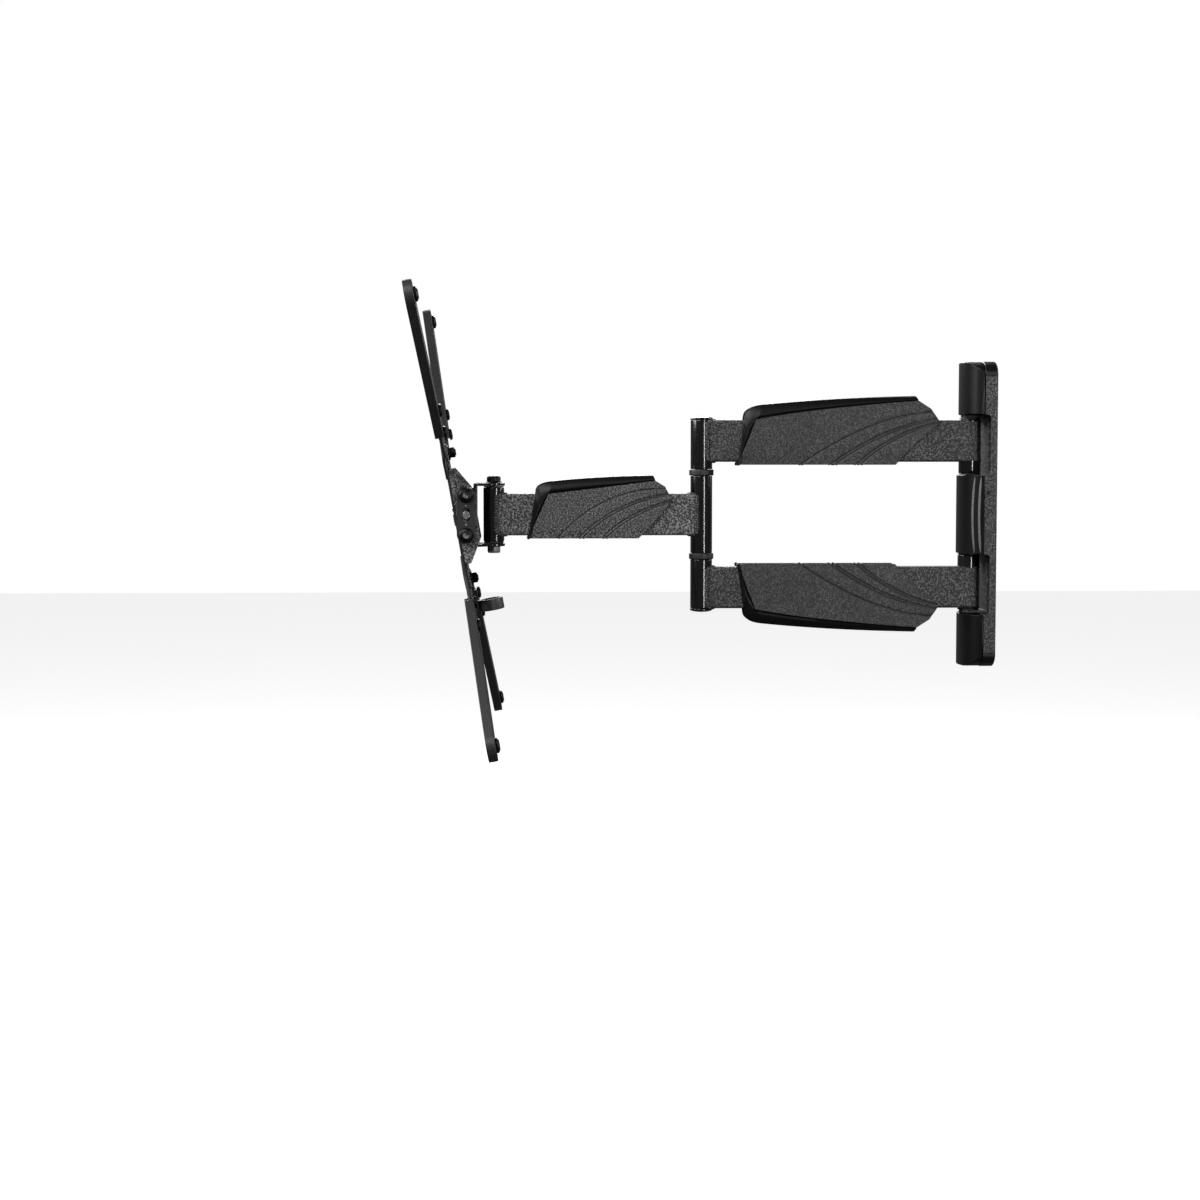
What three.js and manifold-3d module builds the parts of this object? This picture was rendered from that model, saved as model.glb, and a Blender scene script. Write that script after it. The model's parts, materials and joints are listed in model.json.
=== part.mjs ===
// Full motion wall mount for a television: a wall plate, a folding arm in two links, a swivel head,
// a tilt bracket and a TV plate with four extension arms. Millimetres, +Z up.
//
// Origin: the centre of the wall plate's back face. The wall is the XZ plane, X runs along it, and
// the mount stands out from it along -Y.

import * as THREE from 'three';
import { mergeVertices } from 'three/addons/utils/BufferGeometryUtils.js';
import Module from 'manifold-3d';

const wasm = await Module();
wasm.setup();

// ---------------------------------------------------------------- driving dimensions

const GAP = 0.3; // between neighbouring pieces
const DEGREE = Math.PI / 180;

// Distances between the pivots, out from the wall.
const WALL_PIVOT = 20;
const REAR_ARM = 260;
const FRONT_ARM = 200;
const HEAD = 26;
const REST_TILT = 10 * DEGREE; // the screen looks down by this much at rest

// Wall plate, a shallow pan with turned edges.
const PLATE = { halfWidth: 35, halfHeight: 146, sheet: 2.5, edge: 12, lowEdge: 6.5 };
const PLATE_CORNER = { x: 20, z: 12 };
const ARM_ZONE = { from: 38.4, to: 95 }; // heights where the turned edge is cut low for the arms
const LAG_SLOT = { z: 120, halfLength: 13, halfWidth: 4.5 };
const COVER_WALL = 2.2;
const END_COVER = { from: 95.8, crest: 30 };
const CENTRE_COVER = { halfHeight: 37.6, crest: 31.5 };

// Hinge brackets and wall pivots. Heights are those of the upper arm, and the lower arm mirrors them.
const EAR = { sheet: 2.5, low: 35.3, high: 92.8, tip: 8.8, root: 14, back: 17 };
const PIVOT_BOLT = { radius: 4, hex: 7.5, head: 5.4 };
const WELD_NUT = 6;
const WALL_SLEEVE = { outer: 10.5, inner: 8.2, from: 39.4, to: 91.2 };
const BUSHING = { bore: 4.3, spigot: 7.9, flange: 10.2, thickness: 1, length: 12 };

// Arm tubes, of one rectangular section.
const TUBE = { width: 20, height: 40, wall: 1.8, corner: 2.5 };
const ARM_HEIGHT = 70.5; // from the middle of the mount to the middle of each rear tube

// Elbow.
const ELBOW_SLEEVE = { outer: 10.5, inner: 6.3, from: 43.5, to: 90.5 };
const FRONT_SLEEVE = { outer: 10.5, inner: 8.2, halfHeight: 37 };
const SPINDLE = 6;
const COLLAR = { outer: 11.8, spigot: 7.9, bore: 6.3, depth: 12 };
const CAP = { radius: 10.9, height: 3.6 };

// Head.
const HEAD_SLEEVE = { outer: 10, inner: 7.5, halfHeight: 25.7 };
const HEAD_BUSHING = { bore: 4.3, spigot: 7.2, flange: 9.6, thickness: 1.3, length: 11 };
const CLEVIS = { low: 27.6, high: 30.4, tip: 10.7, halfWidth: 22.5, front: 19, back: 16 };
const CHEEK = { inner: 19.7, outer: 22.5, nose: 5.6, round: 4.2, root: 28 };
const SWIVEL_BOLT = { radius: 4, flange: 8, head: 6.7, top: 37.3 };
const SWIVEL_NUT = { hex: 7.1, bottom: 37 };

// Tilt joint.
const TILT_BOLT = { z: 19, radius: 2.5, head: 7.2, height: 4, hex: 2.9, socket: 2.4 };
const TILT_BAR = { inner: 25.6, outer: 30.1, halfWidth: 8.9, halfHeight: 27, slotWidth: 4, slotHeight: 6.5 };
const TILT_RIVET = { radius: 3, head: 3.7, recess: 1.2 };
const TILT_RANGE = { up: 5 * DEGREE, down: 15 * DEGREE }; // from level
const BRACKET = { sheet: 2, face: 7.2, halfWidth: 25.3, halfHeight: 46 };
const RELIEF = { inner: 19.2, halfHeight: 33 }; // windows in the bracket's face, clear of the cheeks
const BRACKET_EAR = { inner: 22.8, crestHeight: 24, crest: 9.6, endDepth: 3.5 };
const TONGUE = { halfWidth: 16, halfHeight: 70 };

// TV plate. Depths are measured from the tilt axis towards the television.
const CENTRE = { face: 9.5, sheet: 2.2, spine: 22, halfHeight: 80, bar: 50, barLow: 44 };
const TAB = { halfWidth: 12, end: 98 };
const FINGER = { halfWidth: 11, from: 62, step: 84, ramp: 8, lift: 1.9, end: 152 };
const FINGER_BOLTS = [113, 141.4]; // along the diagonal
const FINGER_HOLE = 3.2;
const EXTENSION = { halfWidth: 14, wall: 2, face: 5.3, depth: 8.3, cut: 76 };
const TV_HOLE = 200; // half of the hole spacing of the television, both ways
const TV_SCREW = { radius: 4, head: 7, height: 3.4, hole: 4.3, hex: 2.9, socket: 2.2 };
const SPACER = 8;
const LEVEL_BOLT = { z: 61, radius: 3, flange: 7, hex: 5.6, flangeHeight: 1.3, height: 6.3 };
const LEVEL_RANGE = 3 * DEGREE;
const LEVEL_RIVET = { radius: 6, head: 10, height: 1.6, tail: 9, tailHeight: 1.1 };
const RING = { z: -89, height: 11, halfWidth: 17, halfDepth: 12, wall: 2.6, stand: 8, foot: 5 };

// ---------------------------------------------------------------- shapes

// Straight steps in half of each arc: in the corners of the wall plate, and in the barrel fronts.
const CORNER_STEPS = 3;
const BARREL_STEPS = 7;
const ROUND_END_STEPS = 6; // in the round ends of plates and bars

// Triangles with two corners in one point are dropped, such as those at the poles of a turned shape.
function toSolid(geometry) {
  const bare = geometry.clone();
  bare.deleteAttribute('normal');
  bare.deleteAttribute('uv');
  const merged = mergeVertices(bare, 1e-4);
  const corners = [];
  for (let i = 0; i < merged.index.count; i += 3) {
    const [a, b, c] = [merged.index.getX(i), merged.index.getX(i + 1), merged.index.getX(i + 2)];
    if (a !== b && b !== c && c !== a) corners.push(a, b, c);
  }
  return new wasm.Manifold(new wasm.Mesh({
    numProp: 3,
    vertProperties: new Float32Array(merged.attributes.position.array),
    triVerts: new Uint32Array(corners),
  }));
}

function toGeometry(solid) {
  const mesh = solid.getMesh();
  const geometry = new THREE.BufferGeometry();
  geometry.setAttribute('position', new THREE.BufferAttribute(new Float32Array(mesh.vertProperties), 3));
  geometry.setIndex(new THREE.BufferAttribute(new Uint32Array(mesh.triVerts), 1));
  geometry.computeVertexNormals();
  return geometry;
}

const join = (first, ...others) =>
  toGeometry(others.reduce((whole, next) => whole.add(toSolid(next)), toSolid(first)));
const cut = (first, ...tools) =>
  toGeometry(tools.reduce((whole, tool) => whole.subtract(toSolid(tool)), toSolid(first)));
const common = (first, second) => toGeometry(toSolid(first).intersect(toSolid(second)));

// A box between two corners.
function block(x0, x1, y0, y1, z0, z1) {
  const box = new THREE.BoxGeometry(x1 - x0, y1 - y0, z1 - z0);
  return box.translate((x0 + x1) / 2, (y0 + y1) / 2, (z0 + z1) / 2);
}

// A shape turned about Z, from a profile of [radius, z] points that runs up its outer side.
const turned = (profile, sides = 16) =>
  new THREE.LatheGeometry(profile.map(([r, z]) => new THREE.Vector2(r, z)), sides).rotateX(Math.PI / 2);

const rod = (radius, z0, z1, sides = 12) =>
  turned([[0, z0], [radius, z0], [radius, z1], [0, z1]], sides);

const pipe = (outer, inner, z0, z1, sides = 24) =>
  turned([[inner, z0], [outer, z0], [outer, z1], [inner, z1], [inner, z0]], sides);

// Turns what was made along Z to lie along +X, or along -Y, out from the wall.
const alongX = (geometry) => geometry.rotateY(Math.PI / 2);
const outwards = (geometry) => geometry.rotateX(Math.PI / 2);

// The same piece on the other side of z = 0 or x = 0, by a half turn, for shapes with that symmetry.
const below = (geometry) => geometry.rotateY(Math.PI);

// The same outline without the doubled points where its arcs meet.
function cleaned(shape, segments) {
  const single = (points) =>
    points.filter((point, i) => point.distanceTo(points[(i + 1) % points.length]) > 1e-3);
  const outline = shape.extractPoints(segments);
  const clean = new THREE.Shape(single(outline.shape));
  clean.holes = outline.holes.map((hole) => new THREE.Path(single(hole)));
  return clean;
}

const extrude = (shape, depth, segments = 2) =>
  new THREE.ExtrudeGeometry(cleaned(shape, segments), { depth, bevelEnabled: false });

// A side view, drawn in (y, z), given the thickness from x0 to x1.
function sidePlate(shape, x0, x1, segments) {
  const basis = new THREE.Matrix4().makeBasis(
    new THREE.Vector3(0, 1, 0), new THREE.Vector3(0, 0, 1), new THREE.Vector3(1, 0, 0));
  return extrude(shape, x1 - x0, segments).applyMatrix4(basis).translate(x0, 0, 0);
}

// A front view, drawn in (x, z), between two depths out from the wall.
const facePlate = (shape, depth0, depth1, segments) =>
  extrude(shape, depth1 - depth0, segments).rotateX(Math.PI / 2).translate(0, -depth0, 0);

// A plan view, drawn in (x, y), between two heights.
const flatPlate = (shape, z0, z1, segments) => extrude(shape, z1 - z0, segments).translate(0, 0, z0);

function polygon(points) {
  return new THREE.Shape(points.map(([a, b]) => new THREE.Vector2(a, b)));
}

function roundedRectangle(halfWidth, halfHeight, radius) {
  const shape = new THREE.Shape();
  const [a, b] = [halfWidth - radius, halfHeight - radius];
  shape.absarc(a, b, radius, 0, Math.PI / 2);
  shape.absarc(-a, b, radius, Math.PI / 2, Math.PI);
  shape.absarc(-a, -b, radius, Math.PI, 1.5 * Math.PI);
  shape.absarc(a, -b, radius, 1.5 * Math.PI, 2 * Math.PI);
  return shape;
}

// Half an ellipse that bulges away from the wall, drawn in (x, y), with straight sides back to y = back.
function barrel(halfWidth, base, crest, back) {
  const shape = new THREE.Shape();
  shape.moveTo(halfWidth, -back);
  shape.lineTo(-halfWidth, -back);
  shape.absellipse(0, -base, halfWidth, crest - base, Math.PI, 2 * Math.PI);
  return shape;
}

// The wall plate's outline: straight sides and elliptical corners, all moved in by the inset.
function plateOutline(inset) {
  const shape = new THREE.Shape();
  const [x, z] = [PLATE.halfWidth - inset - PLATE_CORNER.x, PLATE.halfHeight - inset - PLATE_CORNER.z];
  shape.absellipse(x, z, PLATE_CORNER.x, PLATE_CORNER.z, 0, Math.PI / 2);
  shape.absellipse(-x, z, PLATE_CORNER.x, PLATE_CORNER.z, Math.PI / 2, Math.PI);
  shape.absellipse(-x, -z, PLATE_CORNER.x, PLATE_CORNER.z, Math.PI, 1.5 * Math.PI);
  shape.absellipse(x, -z, PLATE_CORNER.x, PLATE_CORNER.z, 1.5 * Math.PI, 2 * Math.PI);
  return shape;
}

// A slot bent along a circle about the origin, between two angles.
function arcSlot(radius, halfWidth, angle0, angle1) {
  const shape = new THREE.Shape();
  const end = (angle) => [radius * Math.cos(angle), radius * Math.sin(angle)];
  shape.absarc(0, 0, radius + halfWidth, angle0, angle1);
  shape.absarc(...end(angle1), halfWidth, angle1, angle1 + Math.PI);
  shape.absarc(0, 0, radius - halfWidth, angle1, angle0, true);
  shape.absarc(...end(angle0), halfWidth, angle0 + Math.PI, angle0 + 2 * Math.PI);
  return shape;
}

// ---------------------------------------------------------------- materials

const finish = (color, roughness, metalness) =>
  new THREE.MeshStandardMaterial({ color, roughness, metalness });
const powderCoat = () => finish(0x232323, 0.62, 0.1);
const smoothPaint = () => finish(0x101010, 0.35, 0.1);
const blackPlastic = () => finish(0x171717, 0.5, 0);
const blackZinc = () => finish(0x1c1c1d, 0.35, 0.8);
const brightZinc = () => finish(0xb9babc, 0.35, 1);

function add(group, name, geometry, material) {
  const mesh = new THREE.Mesh(geometry, material);
  mesh.name = name;
  group.add(mesh);
  return mesh;
}

// The mount's links, one inside the other, each with its own origin on its pivot.
const mount = new THREE.Group();
const rearArms = new THREE.Group();
const frontArm = new THREE.Group();
const swivelHead = new THREE.Group();
const tilted = new THREE.Group();
mount.add(rearArms);
rearArms.add(frontArm);
frontArm.add(swivelHead);
swivelHead.add(tilted);
rearArms.position.y = -WALL_PIVOT;
frontArm.position.y = -REAR_ARM;
swivelHead.position.y = -FRONT_ARM;
tilted.position.y = -HEAD;
tilted.rotation.x = REST_TILT;

// Adds a piece of the upper arm and its mirror image in the lower arm. make() returns a new geometry
// that is symmetric about x = 0.
function addPair(group, name, make, material) {
  add(group, `upper_${name}`, make(), material());
  add(group, `lower_${name}`, below(make()), material());
}

// ---------------------------------------------------------------- wall plate

const [armLow, armHigh] = [ARM_ZONE.from, ARM_ZONE.to];
const armZoneMiddle = (armLow + armHigh) / 2;
const armZoneHalf = (armHigh - armLow) / 2;

function lowEdgeTool() {
  const shape = roundedRectangle(10, armZoneHalf, 3);
  return sidePlate(shape, -40, 40).translate(0, -PLATE.lowEdge - 10, armZoneMiddle);
}

function lagSlotTool() {
  const { halfWidth, halfLength, z } = LAG_SLOT;
  const shape = roundedRectangle(halfWidth, halfLength, halfWidth - 0.01);
  return facePlate(shape, -1, PLATE.sheet + 1).translate(0, 0, z);
}

const pan = cut(
  facePlate(plateOutline(0), 0, PLATE.edge, CORNER_STEPS),
  facePlate(plateOutline(PLATE.sheet), PLATE.sheet, PLATE.edge + 1, CORNER_STEPS),
  lowEdgeTool(), below(lowEdgeTool()), lagSlotTool(), below(lagSlotTool()));
add(mount, 'wall_plate', pan, powderCoat());

function earShape() {
  const shape = new THREE.Shape();
  shape.moveTo(-EAR.root, -PLATE.sheet - GAP);
  shape.lineTo(-EAR.tip, -WALL_PIVOT);
  shape.absarc(0, -WALL_PIVOT, EAR.tip, Math.PI, 2 * Math.PI);
  shape.lineTo(EAR.root, -PLATE.sheet - GAP);
  return shape;
}

// Two ears on a back plate, with a nut welded to the inner ear.
function hingeBracket() {
  const back = PLATE.sheet + GAP;
  const top = EAR.high + EAR.sheet;
  return cut(
    join(
      block(-EAR.back, EAR.back, -back - EAR.sheet, -back, EAR.low, top),
      flatPlate(earShape(), EAR.low, EAR.low + EAR.sheet, ROUND_END_STEPS),
      flatPlate(earShape(), EAR.high, top, ROUND_END_STEPS),
      rod(PIVOT_BOLT.hex, EAR.low - WELD_NUT, EAR.low + 1, 6).translate(0, -WALL_PIVOT, 0)),
    rod(PIVOT_BOLT.radius + GAP, EAR.low - WELD_NUT - 1, top + 1).translate(0, -WALL_PIVOT, 0));
}
addPair(mount, 'hinge_bracket', hingeBracket, powderCoat);

// A shell: the plate's outline under a barrel front, hollow behind, with a wall towards the arm that is
// notched for the head of the pivot bolt.
function endCover() {
  const base = PLATE.edge + GAP;
  const { from, crest } = END_COVER;
  const top = PLATE.halfHeight + 1;
  const outer = common(
    facePlate(plateOutline(0), base, crest + 1, CORNER_STEPS),
    flatPlate(barrel(PLATE.halfWidth + 0.01, base, crest, base - 1), from, top, BARREL_STEPS));
  const hollow = common(
    facePlate(plateOutline(COVER_WALL), base - 1, crest + 1, CORNER_STEPS),
    flatPlate(
      barrel(PLATE.halfWidth - COVER_WALL, base, crest - COVER_WALL, base - 2),
      from + COVER_WALL, top, BARREL_STEPS));
  const notch = PIVOT_BOLT.hex + GAP;
  return cut(outer, hollow,
    rod(notch, from - 1, from + 4).translate(0, -WALL_PIVOT, 0),
    block(-notch, notch, -WALL_PIVOT, -base + 1, from - 1, from + 4));
}
addPair(mount, 'end_cover', endCover, smoothPaint);

const centre = CENTRE_COVER.halfHeight;
const centreBase = PLATE.edge + GAP;
const centreShell = cut(
  flatPlate(
    barrel(PLATE.halfWidth, centreBase, CENTRE_COVER.crest, centreBase), -centre, centre, BARREL_STEPS),
  flatPlate(
    barrel(PLATE.halfWidth - COVER_WALL, centreBase, CENTRE_COVER.crest - COVER_WALL, centreBase - 1),
    -centre - 1, centre + 1, BARREL_STEPS));
add(mount, 'centre_cover', centreShell, smoothPaint());

function pivotBolt() {
  const seat = EAR.high + EAR.sheet + GAP;
  return join(
    rod(PIVOT_BOLT.radius, EAR.low - 7, seat + 1),
    rod(PIVOT_BOLT.hex, seat, seat + PIVOT_BOLT.head, 6)).translate(0, -WALL_PIVOT, 0);
}
addPair(mount, 'pivot_bolt', pivotBolt, blackZinc);

// ---------------------------------------------------------------- rear arms

// A rectangular tube between two sleeves, its ends cut to their round.
function armTube(length, sleeve0, sleeve1, height) {
  const { width, height: tall, wall, corner } = TUBE;
  const outside = roundedRectangle(width / 2, tall / 2, corner);
  outside.holes.push(roundedRectangle(width / 2 - wall, tall / 2 - wall, corner - wall + 0.5));
  return cut(
    facePlate(outside, 4, length - 4),
    rod(sleeve0 + GAP, -tall, tall, 24),
    rod(sleeve1 + GAP, -tall, tall, 24).translate(0, -length, 0)).translate(0, 0, height);
}

// A flanged bushing in the lower end of a sleeve, its spigot pointing up.
function bushing({ bore, spigot, flange, thickness, length }, seat) {
  return turned([
    [bore, seat - thickness], [flange, seat - thickness], [flange, seat], [spigot, seat],
    [spigot, seat + length], [bore, seat + length], [bore, seat - thickness],
  ]);
}

// The same bushing in the upper end, its spigot pointing down.
const bushingAbove = (sizes, seat) => bushing(sizes, -seat).rotateY(Math.PI);

addPair(rearArms, 'rear_tube', () => armTube(REAR_ARM, WALL_SLEEVE.outer, ELBOW_SLEEVE.outer, ARM_HEIGHT),
  powderCoat);
addPair(rearArms, 'wall_sleeve',
  () => pipe(WALL_SLEEVE.outer, WALL_SLEEVE.inner, WALL_SLEEVE.from, WALL_SLEEVE.to), powderCoat);
addPair(rearArms, 'inner_bushing', () => bushing(BUSHING, WALL_SLEEVE.from - GAP), blackPlastic);
addPair(rearArms, 'outer_bushing', () => bushingAbove(BUSHING, WALL_SLEEVE.to + GAP), blackPlastic);
addPair(rearArms, 'elbow_sleeve',
  () => pipe(ELBOW_SLEEVE.outer, ELBOW_SLEEVE.inner, ELBOW_SLEEVE.from, ELBOW_SLEEVE.to)
    .translate(0, -REAR_ARM, 0), smoothPaint);

const spindleEnd = ELBOW_SLEEVE.to;
add(rearArms, 'elbow_spindle', rod(SPINDLE, -spindleEnd, spindleEnd, 24).translate(0, -REAR_ARM, 0),
  blackZinc());

function elbowCap() {
  const base = ELBOW_SLEEVE.to + GAP;
  const { radius, height } = CAP;
  return turned([
    [0, base], [radius, base], [radius, base + 0.4 * height], [0.9 * radius, base + 0.75 * height],
    [0.5 * radius, base + 0.95 * height], [0, base + height],
  ]).translate(0, -REAR_ARM, 0);
}
addPair(rearArms, 'elbow_cap', elbowCap, smoothPaint);

// ---------------------------------------------------------------- cable covers

// A cable cover in side view: x is minus the distance from the arm's wall-side pivot, and y the height
// from the middle of the tube. It has a slanted far end, a long arched back and a hooked near end.
const REAR_COVER = {
  foot: 226.5, shoulder: [219.5, 23], crown: [199, 35], arch: [133, 41.5], brow: [54, 43],
  slant: [40, 31], tip: [30.5, 17.5], belly: [53, 2], heel: [73.6, -22.8],
};
const FRONT_COVER = {
  foot: 168, shoulder: [160, 22], crown: [143, 32], arch: [110, 36], brow: [47, 37.6],
  slant: [36, 27], tip: [28.8, 14], belly: [43, -4], heel: [61, -22.8],
};
const COVER = { halfWidth: 12.6, bevelDepth: 4.5, bevelSize: 5, play: 0.4, roof: 2.4, roofHalfWidth: 7.6 };

function coverOutline({ foot, shoulder, crown, arch, brow, slant, tip, belly, heel }) {
  const shape = new THREE.Shape();
  shape.moveTo(-heel[0], heel[1]);
  shape.quadraticCurveTo(-belly[0], belly[1], -tip[0], tip[1]);
  shape.lineTo(-slant[0], slant[1]);
  shape.lineTo(-brow[0], brow[1]);
  shape.quadraticCurveTo(-arch[0], arch[1], -crown[0], crown[1]);
  shape.quadraticCurveTo(-shoulder[0], crown[1] - 1, -shoulder[0], shoulder[1]);
  shape.lineTo(-foot, heel[1]);
  return shape;
}

// The room under the cover's back, open below and at both ends.
function coverRoom({ crown, arch, brow, foot }, drop, halfWidth) {
  const room = polygon([
    [0, -60], [0, brow[1] - drop], [-brow[0], brow[1] - drop], [-arch[0], arch[1] - 1.2 - drop],
    [-crown[0], crown[1] - drop], [-foot - 10, crown[1] - 6 - drop], [-foot - 10, -60],
  ]);
  return sidePlate(room, -halfWidth, halfWidth);
}

function cableCover(sizes, height) {
  const { halfWidth, bevelDepth, bevelSize, play, roof, roofHalfWidth } = COVER;
  const outside = new THREE.ExtrudeGeometry(cleaned(coverOutline(sizes), 6), {
    depth: 2 * (halfWidth - bevelDepth),
    bevelThickness: bevelDepth, bevelSize, bevelOffset: -bevelSize, bevelSegments: 2,
  });
  const basis = new THREE.Matrix4().makeBasis(
    new THREE.Vector3(0, 1, 0), new THREE.Vector3(0, 0, 1), new THREE.Vector3(1, 0, 0));
  outside.applyMatrix4(basis).translate(bevelDepth - halfWidth, 0, 0);
  return cut(outside,
    coverRoom(sizes, bevelSize + 0.6, TUBE.width / 2 + play),
    coverRoom(sizes, roof, roofHalfWidth)).translate(0, 0, height);
}
addPair(rearArms, 'rear_cover', () => cableCover(REAR_COVER, ARM_HEIGHT), blackPlastic);

// ---------------------------------------------------------------- front arm

add(frontArm, 'front_tube', armTube(FRONT_ARM, FRONT_SLEEVE.outer, HEAD_SLEEVE.outer, 0), powderCoat());
add(frontArm, 'front_elbow_sleeve',
  pipe(FRONT_SLEEVE.outer, FRONT_SLEEVE.inner, -FRONT_SLEEVE.halfHeight, FRONT_SLEEVE.halfHeight),
  smoothPaint());

// A collar that keeps the sleeves apart, with a spigot inside the front arm's sleeve.
function elbowCollar() {
  const { outer, spigot, bore, depth } = COLLAR;
  const [low, high] = [FRONT_SLEEVE.halfHeight + GAP, ELBOW_SLEEVE.from - GAP];
  return turned([
    [bore, low - depth], [spigot, low - depth], [spigot, low], [outer, low], [outer, high], [bore, high],
    [bore, low - depth],
  ]);
}
addPair(frontArm, 'elbow_collar', elbowCollar, blackPlastic);
add(frontArm, 'front_cover', cableCover(FRONT_COVER, 0), blackPlastic());

const headEnd = new THREE.Group();
headEnd.position.y = -FRONT_ARM;
frontArm.add(headEnd);
add(headEnd, 'head_sleeve',
  pipe(HEAD_SLEEVE.outer, HEAD_SLEEVE.inner, -HEAD_SLEEVE.halfHeight, HEAD_SLEEVE.halfHeight), powderCoat());
add(headEnd, 'upper_head_bushing', bushingAbove(HEAD_BUSHING, HEAD_SLEEVE.halfHeight + GAP), blackPlastic());
add(headEnd, 'lower_head_bushing', bushing(HEAD_BUSHING, -HEAD_SLEEVE.halfHeight - GAP), blackPlastic());

// ---------------------------------------------------------------- swivel head

function clevisEar() {
  const { halfWidth, front, back, tip } = CLEVIS;
  const shape = new THREE.Shape();
  shape.moveTo(-halfWidth, -front);
  shape.lineTo(halfWidth, -front);
  shape.lineTo(halfWidth, -back + 1);
  shape.lineTo(tip, -2);
  shape.absarc(0, 0, tip, 0, Math.PI);
  shape.lineTo(-tip, -2);
  shape.lineTo(-halfWidth, -back + 1);
  return shape;
}

// An inner cheek in side view, about the tilt axis, with x towards the wall.
function cheekShape() {
  const { nose, round, root } = CHEEK;
  const back = HEAD - CLEVIS.back;
  const bolt = TILT_BOLT.z;
  const shape = new THREE.Shape();
  shape.moveTo(back, -root);
  shape.lineTo(0, -bolt - round);
  shape.absarc(0, -bolt, round, 1.5 * Math.PI, Math.PI, true);
  shape.lineTo(-nose, -bolt / 2);
  shape.lineTo(-nose, bolt / 2);
  shape.lineTo(-round, bolt);
  shape.absarc(0, bolt, round, Math.PI, Math.PI / 2, true);
  shape.lineTo(back, root);
  return shape;
}

const cheek = (x0, x1) => sidePlate(cheekShape(), x0, x1).translate(0, -HEAD, 0);
const acrossHead = (radius, z) =>
  alongX(rod(radius, -40, 40)).translate(0, -HEAD, z);

const clevis = cut(
  join(
    flatPlate(clevisEar(), CLEVIS.low, CLEVIS.high, ROUND_END_STEPS),
    flatPlate(clevisEar(), -CLEVIS.high, -CLEVIS.low, ROUND_END_STEPS),
    block(-CLEVIS.halfWidth, CLEVIS.halfWidth, -CLEVIS.front, -CLEVIS.back, -CLEVIS.high, CLEVIS.high),
    cheek(CHEEK.inner, CHEEK.outer), cheek(-CHEEK.outer, -CHEEK.inner)),
  rod(SWIVEL_BOLT.radius + GAP, -40, 40),
  acrossHead(TILT_RIVET.radius + GAP, 0),
  acrossHead(TILT_BOLT.radius + GAP, TILT_BOLT.z), acrossHead(TILT_BOLT.radius + GAP, -TILT_BOLT.z));
add(swivelHead, 'head_clevis', clevis, smoothPaint());

const swivelSeat = CLEVIS.high + GAP;
const { radius: shank, flange, head, top } = SWIVEL_BOLT;
add(swivelHead, 'swivel_bolt', join(
  rod(shank, -SWIVEL_NUT.bottom + 1, swivelSeat + 1),
  turned([
    [0, swivelSeat], [flange, swivelSeat], [flange, swivelSeat + 0.9], [head, swivelSeat + 0.9],
    [head, top - 1.6], [0.7 * head, top], [0, top],
  ])), blackZinc());
add(swivelHead, 'swivel_nut', cut(
  rod(SWIVEL_NUT.hex, -SWIVEL_NUT.bottom, -swivelSeat, 6),
  rod(shank + GAP, -40, -28)), brightZinc());

const tiltAxis = new THREE.Group();
tiltAxis.position.y = -HEAD;
swivelHead.add(tiltAxis);

// A riveted pin through both cheeks, with a head in the slot of each tilt bar.
const rivetProfile = () => {
  const { radius, head: rivetHead } = TILT_RIVET;
  const [inner, outer] = [TILT_BAR.inner, TILT_BAR.outer - TILT_RIVET.recess];
  return [
    [0, -outer], [rivetHead, -outer], [rivetHead, -inner], [radius, -inner],
    [radius, inner], [rivetHead, inner], [rivetHead, outer], [0, outer],
  ];
};
add(tiltAxis, 'tilt_rivet', alongX(turned(rivetProfile())), brightZinc());

function tiltBar() {
  const { inner, outer, halfWidth, halfHeight, slotWidth, slotHeight } = TILT_BAR;
  const shape = roundedRectangle(halfWidth, halfHeight, halfWidth - 0.01);
  shape.holes.push(roundedRectangle(slotWidth, slotHeight, slotWidth - 0.01));
  const bolts = [-TILT_BOLT.z, TILT_BOLT.z].map((z) =>
    alongX(rod(TILT_BOLT.radius + GAP, inner - 1, outer + 1)).translate(0, 0, z));
  return cut(sidePlate(shape, inner, outer, ROUND_END_STEPS / 2), ...bolts);
}

// A socket button head bolt along +X, its shank through the tilt bar, the ear's slot and the cheek.
function tiltBolt() {
  const { radius, head: wide, height, hex, socket } = TILT_BOLT;
  const seat = TILT_BAR.outer + GAP;
  const body = turned([
    [0, CHEEK.inner + GAP], [radius, CHEEK.inner + GAP], [radius, seat], [wide, seat], [wide, seat + 1],
    [0.88 * wide, seat + 0.6 * height], [0.6 * wide, seat + height], [0, seat + height],
  ]);
  return alongX(cut(body, rod(hex, seat + height - socket, seat + height + 1, 6)));
}

for (const [side, turn] of [['right', 0], ['left', Math.PI]]) {
  add(tiltAxis, `${side}_tilt_bar`, tiltBar().rotateZ(turn), blackPlastic());
  for (const [level, z] of [['upper', TILT_BOLT.z], ['lower', -TILT_BOLT.z]]) {
    add(tiltAxis, `${level}_${side}_tilt_bolt`, tiltBolt().rotateZ(turn).translate(0, 0, z), blackZinc());
  }
}

// ---------------------------------------------------------------- tilt bracket

// An ear in side view about the tilt axis. The bracket face is on the side of the television.
function bracketEar() {
  const { crestHeight, crest, endDepth } = BRACKET_EAR;
  const { face, sheet, halfHeight } = BRACKET;
  return polygon([
    [-face - sheet, -halfHeight], [-endDepth, -halfHeight], [crest, -crestHeight],
    [crest, crestHeight], [-endDepth, halfHeight], [-face - sheet, halfHeight],
  ]);
}

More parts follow.
